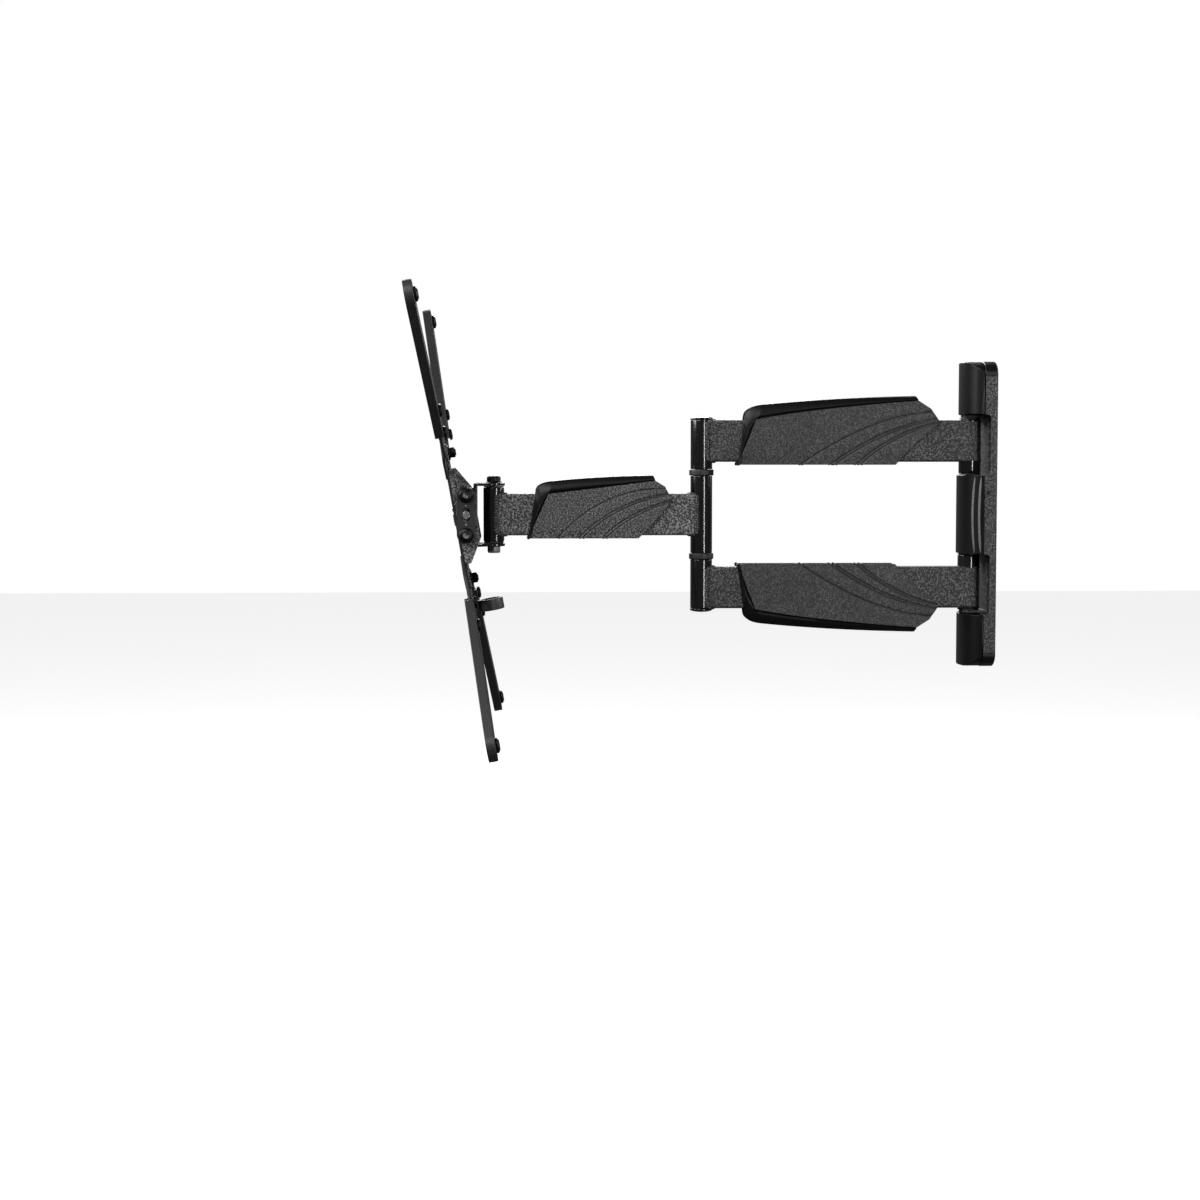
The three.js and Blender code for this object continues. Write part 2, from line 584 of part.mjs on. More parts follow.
// The slots that the tilt bolts run in, through both ears, above and below the rivet.
function tiltSlot(middle) {
  const { up, down } = TILT_RANGE;
  const shape = arcSlot(TILT_BOLT.z, TILT_BOLT.radius + 0.4, middle - down, middle + up);
  return sidePlate(shape, -BRACKET.halfWidth - 1, BRACKET.halfWidth + 1);
}

function levelSlot(z) {
  const reach = LEVEL_BOLT.radius + 0.4;
  const travel = LEVEL_BOLT.z * Math.sin(LEVEL_RANGE);
  return facePlate(roundedRectangle(reach + travel, reach, reach - 0.01), BRACKET.face - 1, BRACKET.face + 4)
    .translate(0, 0, z);
}

const { face: bracketFace, sheet: bracketSheet, halfWidth: bracketHalf, halfHeight: bracketHigh } = BRACKET;
const bracketBack = bracketFace + bracketSheet;
const relief = () => block(
  RELIEF.inner, BRACKET_EAR.inner, -bracketBack - 1, -bracketFace + 1, -RELIEF.halfHeight, RELIEF.halfHeight);

add(tilted, 'tilt_bracket', cut(
  join(
    block(-bracketHalf, bracketHalf, -bracketBack, -bracketFace, -bracketHigh, bracketHigh),
    facePlate(roundedRectangle(TONGUE.halfWidth, TONGUE.halfHeight, 6), bracketFace, bracketBack),
    sidePlate(bracketEar(), BRACKET_EAR.inner, bracketHalf),
    sidePlate(bracketEar(), -bracketHalf, -BRACKET_EAR.inner)),
  relief(), below(relief()),
  tiltSlot(Math.PI / 2), tiltSlot(1.5 * Math.PI),
  alongX(rod(TILT_RIVET.radius + GAP, -40, 40)),
  levelSlot(LEVEL_BOLT.z), levelSlot(-LEVEL_BOLT.z),
  outwards(rod(LEVEL_RIVET.radius + GAP, 0, 20, 16))), powderCoat());

const centreBack = CENTRE.face + CENTRE.sheet;
const { radius: rivetRadius, head: rivetHead, height: rivetHeight } = LEVEL_RIVET;
add(tilted, 'level_rivet', outwards(turned([
  [0, bracketFace - GAP - rivetHeight], [rivetHead, bracketFace - GAP - rivetHeight],
  [rivetHead, bracketFace - GAP], [rivetRadius, bracketFace - GAP], [rivetRadius, centreBack + GAP],
  [LEVEL_RIVET.tail, centreBack + GAP], [LEVEL_RIVET.tail, centreBack + GAP + LEVEL_RIVET.tailHeight],
  [0, centreBack + GAP + LEVEL_RIVET.tailHeight],
])), brightZinc());

// ---------------------------------------------------------------- TV plate

const DIAGONALS = [
  ['upper_right', Math.PI / 4], ['lower_right', 0.75 * Math.PI],
  ['lower_left', 1.25 * Math.PI], ['upper_left', 1.75 * Math.PI],
];
const tvReach = TV_HOLE * Math.SQRT2;

// A finger runs out along the diagonal, and steps towards the wall on the way.
function finger(angle) {
  const { from, step, ramp, lift, end, halfWidth } = FINGER;
  const near = -CENTRE.face;
  const far = -centreBack;
  const side = polygon([
    [near, from], [near, step], [near + lift, step + ramp], [near + lift, end], [far + lift, end],
    [far + lift, step + ramp + 1], [far, step + 1], [far, from],
  ]);
  return sidePlate(side, -halfWidth, halfWidth).rotateY(angle);
}

const fingerHoles = DIAGONALS.flatMap(([, angle]) => FINGER_BOLTS.map((reach) =>
  outwards(rod(FINGER_HOLE, 0, 20)).translate(0, 0, reach).rotateY(angle)));
const { spine, halfHeight: centreHigh, bar, barLow } = CENTRE;
add(tilted, 'centre_plate', cut(
  join(
    facePlate(roundedRectangle(spine, centreHigh, 4), CENTRE.face, centreBack),
    block(-TAB.halfWidth, TAB.halfWidth, -centreBack, -CENTRE.face, -TAB.end, 0),
    block(-bar, bar, -centreBack, -CENTRE.face, barLow, centreHigh),
    block(-bar, bar, -centreBack, -CENTRE.face, -centreHigh, -barLow),
    ...DIAGONALS.map(([, angle]) => finger(angle))),
  ...fingerHoles,
  outwards(rod(rivetRadius + GAP, 0, 20, 16)),
  outwards(rod(LEVEL_BOLT.radius + GAP, 0, 20)).translate(0, 0, LEVEL_BOLT.z),
  outwards(rod(LEVEL_BOLT.radius + GAP, 0, 20)).translate(0, 0, -LEVEL_BOLT.z)), powderCoat());

// A channel with a round outer end, its web on the wall side and its edges towards the television.
function armOutline(inset, inner) {
  const width = EXTENSION.halfWidth - inset;
  const shape = new THREE.Shape();
  shape.moveTo(-width, inner);
  shape.lineTo(width, inner);
  shape.absarc(0, tvReach, width, 0, Math.PI);
  return shape;
}

function extensionArm(angle) {
  const { face, depth, wall, cut: innerCut } = EXTENSION;
  const channel = cut(
    facePlate(armOutline(0, 80), face, face + depth, ROUND_END_STEPS),
    facePlate(armOutline(wall, 70), face + wall, face + depth + 1, ROUND_END_STEPS),
    outwards(rod(TV_SCREW.hole, 0, 20)).translate(0, 0, tvReach),
    ...FINGER_BOLTS.map((reach) => outwards(rod(FINGER_HOLE, 0, 20)).translate(0, 0, reach)));
  return cut(channel.rotateY(angle), block(-300, 300, -40, 0, -innerCut, innerCut));
}

const { radius: screwRadius, head: screwHead, height: screwHeight } = TV_SCREW;
const tvFace = EXTENSION.face + EXTENSION.depth;
const webBack = EXTENSION.face + EXTENSION.wall;

const tvScrew = () => outwards(cut(
  turned([
    [0, EXTENSION.face - GAP - screwHeight], [0.6 * screwHead, EXTENSION.face - GAP - screwHeight],
    [screwHead, EXTENSION.face - GAP - 0.5 * screwHeight], [screwHead, EXTENSION.face - GAP],
    [screwRadius, EXTENSION.face - GAP], [screwRadius, tvFace - GAP], [0, tvFace - GAP],
  ]),
  rod(TV_SCREW.hex, EXTENSION.face - screwHeight - 1,
    EXTENSION.face - GAP - screwHeight + TV_SCREW.socket, 6)));
const spacer = () => outwards(pipe(SPACER, TV_SCREW.hole, webBack + GAP, tvFace, 24));

for (const [corner, angle] of DIAGONALS) {
  const place = (geometry) => geometry.translate(0, 0, tvReach).rotateY(angle);
  add(tilted, `${corner}_extension`, extensionArm(angle), powderCoat());
  add(tilted, `${corner}_spacer`, place(spacer()), blackPlastic());
  add(tilted, `${corner}_tv_screw`, place(tvScrew()), blackZinc());
}

// A stud fixed in the centre plate, with its flange nut on the bracket's tongue.
function levelBolt(z) {
  const { radius, flange: wide, hex, flangeHeight, height } = LEVEL_BOLT;
  const seat = bracketFace - GAP;
  return outwards(join(
    rod(radius, seat - height - 1, centreBack),
    rod(wide, seat - flangeHeight, seat, 24),
    rod(hex, seat - height, seat - flangeHeight + 0.1, 6))).translate(0, 0, z);
}
add(tilted, 'upper_level_bolt', levelBolt(LEVEL_BOLT.z), blackZinc());
add(tilted, 'lower_level_bolt', levelBolt(-LEVEL_BOLT.z), blackZinc());

// An oval loop for cables, on a foot that clips to the centre plate's tab.
function cableRing() {
  const { z, height, halfWidth, halfDepth, wall, stand, foot } = RING;
  const ellipse = (inset) => {
    const shape = new THREE.Shape();
    shape.absellipse(0, 0, halfWidth - inset, halfDepth - inset, 0, 2 * Math.PI);
    return shape;
  };
  const shape = (inset, over) => extrude(ellipse(inset), height + 2 * over, 14)
    .translate(0, stand, z - height / 2 - over);
  const footBlock = block(
    -foot, foot, -CENTRE.face + GAP, stand - halfDepth + 2, z - height / 2, z + height / 2);
  return cut(join(shape(0, 0), footBlock), shape(wall, 1));
}
add(tilted, 'cable_ring', cableRing(), blackPlastic());

export default mount;
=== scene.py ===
import bmesh
import bpy
import numpy as np
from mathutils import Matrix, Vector
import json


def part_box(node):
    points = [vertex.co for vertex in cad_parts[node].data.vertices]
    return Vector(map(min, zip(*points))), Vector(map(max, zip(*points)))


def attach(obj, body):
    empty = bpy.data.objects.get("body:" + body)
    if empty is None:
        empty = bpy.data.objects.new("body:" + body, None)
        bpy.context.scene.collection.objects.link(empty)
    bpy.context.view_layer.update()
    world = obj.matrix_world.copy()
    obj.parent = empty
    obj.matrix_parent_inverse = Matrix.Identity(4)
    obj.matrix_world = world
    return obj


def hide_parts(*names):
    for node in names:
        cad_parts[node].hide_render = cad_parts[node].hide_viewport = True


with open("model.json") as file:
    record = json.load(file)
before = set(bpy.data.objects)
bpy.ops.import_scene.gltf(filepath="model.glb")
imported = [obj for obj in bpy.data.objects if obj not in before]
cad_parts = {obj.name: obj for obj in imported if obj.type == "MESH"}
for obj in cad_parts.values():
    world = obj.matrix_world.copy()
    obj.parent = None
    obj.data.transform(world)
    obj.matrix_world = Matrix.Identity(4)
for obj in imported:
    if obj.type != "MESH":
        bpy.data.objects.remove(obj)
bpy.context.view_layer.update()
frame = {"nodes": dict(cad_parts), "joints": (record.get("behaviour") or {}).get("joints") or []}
mm = 0.001

# ---------------------------------------------------------------- wall plate
# A shallow pan pressed from 2.5 mm mild steel, with two hinge brackets riveted inside it and a nut welded
# to each. The steel is blasted and powder coated in a fine sand texture.


def linear(colour):
    """Linear red, green, blue and alpha of an sRGB hex colour."""
    srgb = np.array([int(colour[i : i + 2], 16) for i in (1, 3, 5)]) / 255
    return (*np.where(srgb <= 0.04045, srgb / 12.92, ((srgb + 0.055) / 1.055) ** 2.4), 1.0)


def add(material, kind, sockets, **settings):
    """Adds a node with its settings. A socket takes a value, or a link from another node's output."""
    made = material.node_tree.nodes.new("ShaderNode" + kind)
    for key, value in settings.items():
        setattr(made, key, value)
    for key, value in sockets.items():
        if isinstance(value, bpy.types.NodeSocket):
            material.node_tree.links.new(value, made.inputs[key])
        else:
            made.inputs[key].default_value = value
    return made


def finish(name, slot, dark, light, grain, spread, roughness, relief, metallic=0.0, coat=0.0, drift=0.25,
           lined=False, ior=1.5):
    """A surface with a grain of a real size: its colour goes from dark to light, its roughness from the
    first to the second value, and its height by relief, as a noise of that grain crosses the spread.
    A slow noise of 45 mm moves the whole tone by the drift, as an uneven coat or mould does. A lined
    surface is darkened by the shade in its grooves, which the mesh gives as its attribute "line"."""
    made = bpy.data.materials.new(name)
    made["slot"] = slot
    made.use_nodes = True
    shader = made.node_tree.nodes["Principled BSDF"]
    shader.inputs["Metallic"].default_value = metallic
    shader.inputs["IOR"].default_value = ior
    shader.inputs["Coat Weight"].default_value = coat
    shader.inputs["Coat Roughness"].default_value = 0.12
    where = add(made, "TexCoord", {}).outputs["Object"]
    fine = add(made, "TexNoise", {"Vector": where, "Scale": 1 / grain, "Detail": 2.5, "Roughness": 0.6})
    slow = add(made, "TexNoise", {"Vector": where, "Scale": 1 / (45 * mm), "Detail": 3.0})
    across = {"Value": fine.outputs["Fac"], "From Min": spread[0], "From Max": spread[1]}
    grains = add(made, "MapRange", across)
    tones = add(made, "MapRange", {"Value": slow.outputs["Fac"], "From Min": 0.3, "From Max": 0.7,
                                   "To Min": 1 - drift, "To Max": 1 + drift})
    mixed = add(made, "Mix", {0: grains.outputs[0], 6: linear(dark), 7: linear(light)}, data_type="RGBA")
    toned = add(made, "VectorMath", {0: mixed.outputs[2], "Scale": tones.outputs[0]}, operation="SCALE")
    rough = add(made, "MapRange", {**across, "To Min": roughness[0], "To Max": roughness[1]})
    bump = add(made, "Bump", {"Height": grains.outputs[0], "Distance": relief, "Strength": 1.0})
    links = made.node_tree.links
    if lined:
        line = add(made, "Attribute", {}, attribute_name="line")
        toned = add(made, "Mix", {0: line.outputs["Fac"], 6: toned.outputs[0], 7: linear("#020202")},
                    data_type="RGBA")
    links.new(toned.outputs[2 if lined else 0], shader.inputs["Base Color"])
    links.new(rough.outputs[0], shader.inputs["Roughness"])
    links.new(bump.outputs[0], shader.inputs["Normal"])
    return made


def piece(name, mesh, body, material, stands_for=(), sharp=38):
    """Closes the seams and poles of a mesh, points its faces outwards, creases it where it turns by more
    than the sharp angle, and lets it ride on a body in place of the CAD nodes it stands for."""
    work = bmesh.new()
    work.from_mesh(mesh)
    bmesh.ops.remove_doubles(work, verts=work.verts, dist=2e-6)
    bmesh.ops.dissolve_degenerate(work, edges=work.edges, dist=1e-7)
    bmesh.ops.recalc_face_normals(work, faces=work.faces)
    work.to_mesh(mesh)
    work.free()
    mesh.shade_smooth()
    mesh.set_sharp_from_angle(angle=np.radians(sharp))
    mesh.materials.append(material)
    made = bpy.data.objects.new(name, mesh)
    bpy.context.scene.collection.objects.link(made)
    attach(made, body)
    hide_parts(*stands_for)
    return made


def eased(node, body, material, edge=0.4 * mm):
    """The CAD node's own shape as one closed mesh, with a round of the edge size on every sharp edge."""
    mesh = frame["nodes"][node].data.copy()
    mesh.materials.clear()
    work = bmesh.new()
    work.from_mesh(mesh)
    bmesh.ops.remove_doubles(work, verts=work.verts, dist=2e-6)
    bmesh.ops.dissolve_limit(work, angle_limit=np.radians(0.5), verts=work.verts, edges=work.edges)
    work.to_mesh(mesh)
    work.free()
    made = piece(f"eased_{node}", mesh, body, material, [node])
    bevel = made.modifiers.new("edges", "BEVEL")
    bevel.width, bevel.segments = edge, 2
    bevel.limit_method, bevel.angle_limit = "ANGLE", np.radians(32)
    bevel.use_clamp_overlap = False
    bevel.harden_normals = True
    return made


# Polyester powder coat on steel, blasted first. Its sand texture is about 0.5 mm and is drawn at 1.5 mm,
# so that it shows: dark ground, with grey points where the light catches the grains.
sand_coat = finish("polyester_powder_coat", "powder_coat", "#050505", "#525252", 1.6 * mm, (0.46, 0.64),
                   (0.66, 0.45), 0.12 * mm)
eased("wall_plate", "wall_plate", sand_coat, 0.8 * mm)
eased("upper_hinge_bracket", "wall_plate", sand_coat, 0.3 * mm)
eased("lower_hinge_bracket", "wall_plate", sand_coat, 0.3 * mm)

# ---------------------------------------------------------------- plate covers
# Three snap-on covers over the wall plate, injection moulded in ABS with a satin face: one at each end
# over the lag bolts, and one between the arms with two raised ribs down each side.

# Satin black ABS from a fine spark-eroded mould: almost smooth, with a broad soft highlight, and a dull
# skin that reflects less than bare plastic, so its IOR is lower.
satin_abs = finish("satin_moulded_abs", "satin_cover", "#040404", "#090909", 0.9 * mm, (0.35, 0.65),
                   (0.34, 0.42), 0.008 * mm, ior=1.28)
# The same on the ribs, painted a dull grey: a painted highlight along their crests, where the light catches
# them.
rib_highlight_abs = finish("rib_highlight_satin_abs", "satin_cover", "#3a3a3a", "#6c6c6c", 0.9 * mm, (0.35, 0.65),
                    (0.40, 0.50), 0.008 * mm)
eased("upper_end_cover", "wall_plate", satin_abs, 0.9 * mm)
eased("lower_end_cover", "wall_plate", satin_abs, 0.9 * mm)
eased("centre_cover", "wall_plate", satin_abs, 0.5 * mm)


def skin(name, grid, rows_meet=False, columns_meet=False):
    """A mesh of four-sided faces on a grid of points, given as rows, columns and x, y, z. Where rows or
    columns meet, the last one is joined to the first."""
    index = np.arange(grid.shape[0] * grid.shape[1]).reshape(grid.shape[:2])
    if rows_meet:
        index = np.vstack([index, index[:1]])
    if columns_meet:
        index = np.hstack([index, index[:, :1]])
    faces = np.stack([index[:-1, :-1], index[:-1, 1:], index[1:, 1:], index[1:, :-1]], -1).reshape(-1, 4)
    mesh = bpy.data.meshes.new(name)
    mesh.from_pydata(grid.reshape(-1, 3), [], faces.tolist())
    return mesh


def cover_rib(side, depth, bow):
    """A low rib down the side of the centre cover: a half round whose centre line is bowed outwards by
    bow x (1 - t^2), and whose height falls to nothing at both ends as (1 - t^8)."""
    low, high = (np.array(corner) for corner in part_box("centre_cover"))
    t = np.linspace(-1, 1, 60)[:, None]
    turn = np.linspace(0, 2 * np.pi, 13)[None, :-1]
    z = t * 0.985 * high[2] + 0 * turn
    out = depth + bow * (1 - t**2)
    # The cover's front is half an ellipse, so its half width at a depth follows from the ellipse.
    width = high[0] * np.sqrt(1 - np.clip((out + high[1]) / (high[1] - low[1]), 0, 1) ** 2)
    size = 1.2 * mm * (1 - t**8) + 0.05 * mm
    x = side * (width - 0.3 * mm + size * np.cos(turn))
    y = -(out + size * np.sin(turn))
    return np.stack([x, y, z], -1)


for side, letter in ((1, "near"), (-1, "far")):
    for depth, bow, number in ((20.5 * mm, 1.8 * mm, "front"), (15.2 * mm, 1.6 * mm, "back")):
        rib = skin("rib", cover_rib(side, depth, bow), columns_meet=True)
        # The ribs carry the painted highlight of their ABS.
        piece(f"{letter}_{number}_cover_rib", rib, "wall_plate", rib_highlight_abs)


def end_lip(up):
    """The cover's skirt round the end of the plate: the plate's outline, an ellipse of 20 x 12 mm at each
    corner, carried back from the cover to the wall over the last 13 mm and 0.35 mm outside the plate."""
    low, high = (np.array(corner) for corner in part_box("wall_plate"))
    lift, corner_x, corner_z = 0.35 * mm, 20 * mm, 12 * mm
    turn = np.linspace(0, np.pi / 2, 24)
    x = np.concatenate([[high[0]], high[0] - corner_x * (1 - np.cos(turn)), [0]])
    z = np.concatenate([[high[2] - corner_z - 2 * mm], high[2] - corner_z * (1 - np.sin(turn)), [high[2]]])
    x, z = np.concatenate([x, -x[-2::-1]]), np.concatenate([z, z[-2::-1]])
    # The skirt's section: how far outside the plate, and the depth from the wall.
    section = ((0, -0.4 * mm), (lift, -0.8 * mm), (lift, low[1] + 0.2 * mm), (0, low[1] - 0.2 * mm))
    rings = [np.stack([x + grow * np.sign(x), 0 * x + y, up * (z + grow)], 1) for grow, y in section]
    return skin("lip", np.array(rings), rows_meet=True)


for level, up in (("upper", 1), ("lower", -1)):
    piece(f"{level}_end_cover_skirt", end_lip(up), "wall_plate", satin_abs)


def rounded(corners, radius):
    """A line through the corners, in which each inner corner is a quadratic curve that starts one radius
    before it and ends one radius after it, or less where a side is short."""
    p = np.array(corners, float)
    before, at, after = p[:-2], p[1:-1], p[2:]
    lengths = [np.linalg.norm((q - at)[:, :2], axis=1, keepdims=True) for q in (before, after)]
    ends = [at + (q - at) * np.minimum(radius / np.maximum(size, 1e-9), 0.45)
            for q, size in zip((before, after), lengths)]
    t = np.linspace(0, 1, 4)[None, :, None]
    curve = (1 - t) ** 2 * ends[0][:, None] + 2 * t * (1 - t) * at[:, None] + t**2 * ends[1][:, None]
    return np.vstack([p[:1], curve.reshape(-1, p.shape[1]), p[-1:]])


def turned(name, corners, centre, along=(0, 0, 1), edge=0.35 * mm, sides=48):
    """A shape turned about the direction along: its profile runs through [radius, height] corners with
    rounded edges. A third value of 1 makes a corner hexagonal: there the radius at an angle a is
    radius x cos 30 / cos(a mod 60 - 30), which is the radius at the six corners and less on the flats."""
    profile = np.array([(*c, 0) if len(c) == 2 else c for c in corners], float)
    r, h, hexagonal = rounded(profile, edge).T[..., None]
    angle = np.linspace(0, 2 * np.pi, sides, endpoint=False)[None]
    flats = np.cos(np.pi / 6) / np.cos(np.mod(angle, np.pi / 3) - np.pi / 6)
    r = r * (1 + hexagonal * (flats - 1))
    w = np.array(along, float)
    u = np.cross(w, (0, 0, 1) if abs(w[2]) < 0.5 else (0, 1, 0))
    u /= np.linalg.norm(u)
    v = np.cross(w, u)
    grid = (np.array(centre, float) + (r * np.cos(angle))[..., None] * u
            + (r * np.sin(angle))[..., None] * v + (h + 0 * angle)[..., None] * w)
    return skin(name, grid, columns_meet=True)


# The screw that holds the centre cover, in the turned edge of the plate on each side.
plate_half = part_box("wall_plate")[1][0]
screw_profile = [(0, -1 * mm), (1.9 * mm, -1 * mm), (1.9 * mm, 0.35 * mm), (0.9 * mm, 0.55 * mm),
                 (0.8 * mm, -0.3 * mm), (0, -0.3 * mm)]
for side, letter in ((1, "near"), (-1, "far")):
    place = (side * plate_half, -8 * mm, 21.5 * mm)
    screw = turned("cover_screw", screw_profile, place, (side, 0, 0), 0.2 * mm, 32)
    piece(f"{letter}_cover_screw", screw, "wall_plate", satin_abs)

# ---------------------------------------------------------------- wall pivots
# Each rear arm ends in a drawn steel sleeve that turns on a hexagon bolt between the ears of its hinge
# bracket, with a flanged nylon bushing pressed into each end of the sleeve.

# Black zinc plate on steel: a dark metal with a soft sheen.
black_zinc = finish("black_zinc_plate", "black_zinc", "#1a1a1b", "#262628", 1.2 * mm, (0.3, 0.7),
                    (0.34, 0.46), 0.006 * mm, metallic=1.0)
# Nylon as moulded: matte black, faintly grained.
nylon = finish("black_nylon", "black_nylon", "#0b0b0b", "#151515", 0.8 * mm, (0.35, 0.65), (0.46, 0.58),
               0.02 * mm)
# Smooth semi-gloss enamel over drawn tube: deep black with a sharp, bright line of light along it.
gloss_enamel = finish("semi_gloss_enamel", "gloss_paint", "#050505", "#080808", 7 * mm, (0.3, 0.7),
                      (0.13, 0.18), 0.012 * mm, coat=0.4)


def middle(node):
    """The middle of a CAD node's box."""
    low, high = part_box(node)
    return np.array((low + high) / 2)


def sleeve(name, node, body, material, bore):
    """A drawn tube the size of its node, with rounded rims: the profile goes up the bore and down outside."""
    low, high = (np.array(corner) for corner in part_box(node))
    outer, half = (high[0] - low[0]) / 2, (high[2] - low[2]) / 2
    profile = [(bore, 0), (bore, half), (outer, half), (outer, -half), (bore, -half), (bore, 0)]
    piece(name, turned(name, profile, middle(node), edge=0.6 * mm), body, material, [node])


def flanged_bushing(name, node, body, point, sizes):
    """A bushing whose spigot points in the given direction. Sizes are bore, spigot, flange and thickness."""
    low, high = (np.array(corner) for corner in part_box(node))
    bore, spigot, flange, thickness = (size * mm for size in sizes)
    length = high[2] - low[2]
    foot = middle(node) * (1, 1, 0) + (0, 0, low[2] if point > 0 else high[2])
    profile = [(bore, length / 2), (bore, 0), (flange, 0), (flange, thickness), (spigot, thickness),
               (spigot, length), (bore, length), (bore, length / 2)]
    piece(name, turned(name, profile, foot, (0, 0, point), 0.2 * mm), body, nylon, [node])


for level, up in (("upper", 1), ("lower", -1)):
    sleeve(f"{level}_wall_pivot_sleeve", f"{level}_wall_sleeve", "rear_arms", gloss_enamel, 8.2 * mm)
    for where, point in (("inner", up), ("outer", -up)):
        flanged_bushing(f"{level}_{where}_pivot_bushing", f"{level}_{where}_bushing", "rear_arms", point,
                        (4.3, 7.9, 10.2, 1))
    low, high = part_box(f"{level}_pivot_bolt")
    tip, head = (low[2], high[2]) if up > 0 else (high[2], low[2])
    length = abs(head - tip)
    bolt = turned("pivot_bolt", [
        (0, 0), (3.4 * mm, 0), (4 * mm, 0.8 * mm), (4 * mm, length - 5.4 * mm),
        (7.5 * mm, length - 5.4 * mm, 1), (7.5 * mm, length - 0.6 * mm, 1), (6.3 * mm, length), (0, length)],
        (0, middle(f"{level}_pivot_bolt")[1], tip), (0, 0, up), 0.2 * mm)
    piece(f"{level}_pivot_hex_bolt", bolt, "wall_plate", black_zinc, [f"{level}_pivot_bolt"])

# ---------------------------------------------------------------- rear arms
# Two arms of 20 x 40 mm rectangular steel tube, coped to fit round the sleeve at each end and welded to
# it all round. The weld is a bead of small overlapping ripples, coated with the rest.
tube_corner, tube_wall = 2.5 * mm, 1.8 * mm


def tube_section(half_width, half_height, corner, count):
    """Points evenly spaced round a rectangle whose corners are quarter circles."""
    turn = np.linspace(0, np.pi / 2, 12)
    arcs = [np.stack([sx * (half_width - corner) + corner * np.cos(turn + quarter),
                      sz * (half_height - corner) + corner * np.sin(turn + quarter)], 1)
            for sx, sz, quarter in ((1, 1, 0), (-1, 1, np.pi / 2), (-1, -1, np.pi), (1, -1, 1.5 * np.pi))]
    outline = np.vstack([*arcs, arcs[0][:1]])
    run = np.concatenate([[0], np.cumsum(np.linalg.norm(np.diff(outline, axis=0), axis=1))])
    at = np.linspace(0, run[-1], count, endpoint=False)
    return np.stack([np.interp(at, run, outline[:, i]) for i in (0, 1)], 1)


def coped_tube(name, node, body, material, start, end, wrapped=False):
    """A rectangular tube along -Y between two sleeves, each given as the y of its axis and its radius. Each
    end follows the sleeve: at a width x it lies sqrt(radius^2 - x^2) from the sleeve's axis. A wrapped
    tube runs on round its first sleeve instead, and swells by 0.9 mm over the last 24 mm to clear it."""
    low, high = (np.array(corner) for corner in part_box(node))
    half_width, half_height = (high[0] - low[0]) / 2, (high[2] - low[2]) / 2
    swell_length, swell_share = 24 * mm, 0.09
    rings = []
    # The rings run along the outside of the tube, and back along its inside.
    for inset, order in ((0, (0, 1)), (tube_wall, (1, 0))):
        x, z = tube_section(half_width - inset, half_height - inset, tube_corner - 0.7 * inset, 160).T
        ends = [start[0] - (-1 if wrapped else 1) * np.sqrt(start[1] ** 2 - x**2),
                end[0] + np.sqrt(end[1] ** 2 - x**2)]
        near, far = ends[order[0]], ends[order[1]]
        for share in np.linspace(0, 1, 40):
            y = near + (far - near) * share
            swell = np.clip((y - start[0] + swell_length) / swell_length, 0, 1) if wrapped else 0 * y
            wide = 1 + swell_share * swell**2 * (3 - 2 * swell)
            rings.append(np.stack([x * wide, y, z + middle(node)[2]], 1))
    piece(name, skin(name, np.array(rings), rows_meet=True, columns_meet=True), body, material, [node])


def weld_bead(name, body, axis_y, radius, facing, height):
    """A closed ring of weld round a tube's end on its sleeve. Its centre line is the tube's outline, 1.6 mm
    lower, laid on the sleeve's round and 2 mm off it. Its thickness rises and falls with each ripple:
    size x (1 + 0.14 sin(2 pi run / ripple))."""
    size, ripple, off = 2.5 * mm, 2.4 * mm, 2 * mm
    x, z = tube_section(10 * mm, 18.4 * mm, tube_corner, 560).T
    outward = np.stack([x, facing * np.sqrt(radius**2 - x**2), 0 * x], 1) / radius
    line = radius * outward + np.stack([0 * x, axis_y + facing * off + 0 * x, z + height], 1)
    step = np.roll(line, -1, 0) - np.roll(line, 1, 0)
    heading = step / np.linalg.norm(step, axis=1, keepdims=True)
    across = np.cross(heading, outward)
    across /= np.linalg.norm(across, axis=1, keepdims=True)
    run = np.cumsum(np.linalg.norm(step, axis=1) / 2)
    ripples = np.round(run[-1] / ripple)
    thick = size * (1 + 0.14 * np.sin(2 * np.pi * ripples * run / run[-1]))[:, None, None]
    turn = np.linspace(0, 2 * np.pi, 12, endpoint=False)[None, :, None]
    ring = line[:, None] + thick * (0.6 * np.cos(turn) * outward[:, None] + np.sin(turn) * across[:, None])
    piece(name, skin(name, ring, rows_meet=True, columns_meet=True), body, sand_coat, sharp=60)


wall_y, elbow_y, head_y = (middle(node)[1] for node in ("upper_wall_sleeve", "elbow_spindle", "head_sleeve"))
for level, up in (("upper", 1), ("lower", -1)):
    height = middle(f"{level}_rear_tube")[2]
    coped_tube(f"{level}_arm_tube", f"{level}_rear_tube", "rear_arms", sand_coat, (wall_y, 11 * mm),
               (elbow_y, 10.8 * mm), wrapped=True)
    weld_bead(f"{level}_elbow_weld", "rear_arms", elbow_y, 10.5 * mm, 1, height)

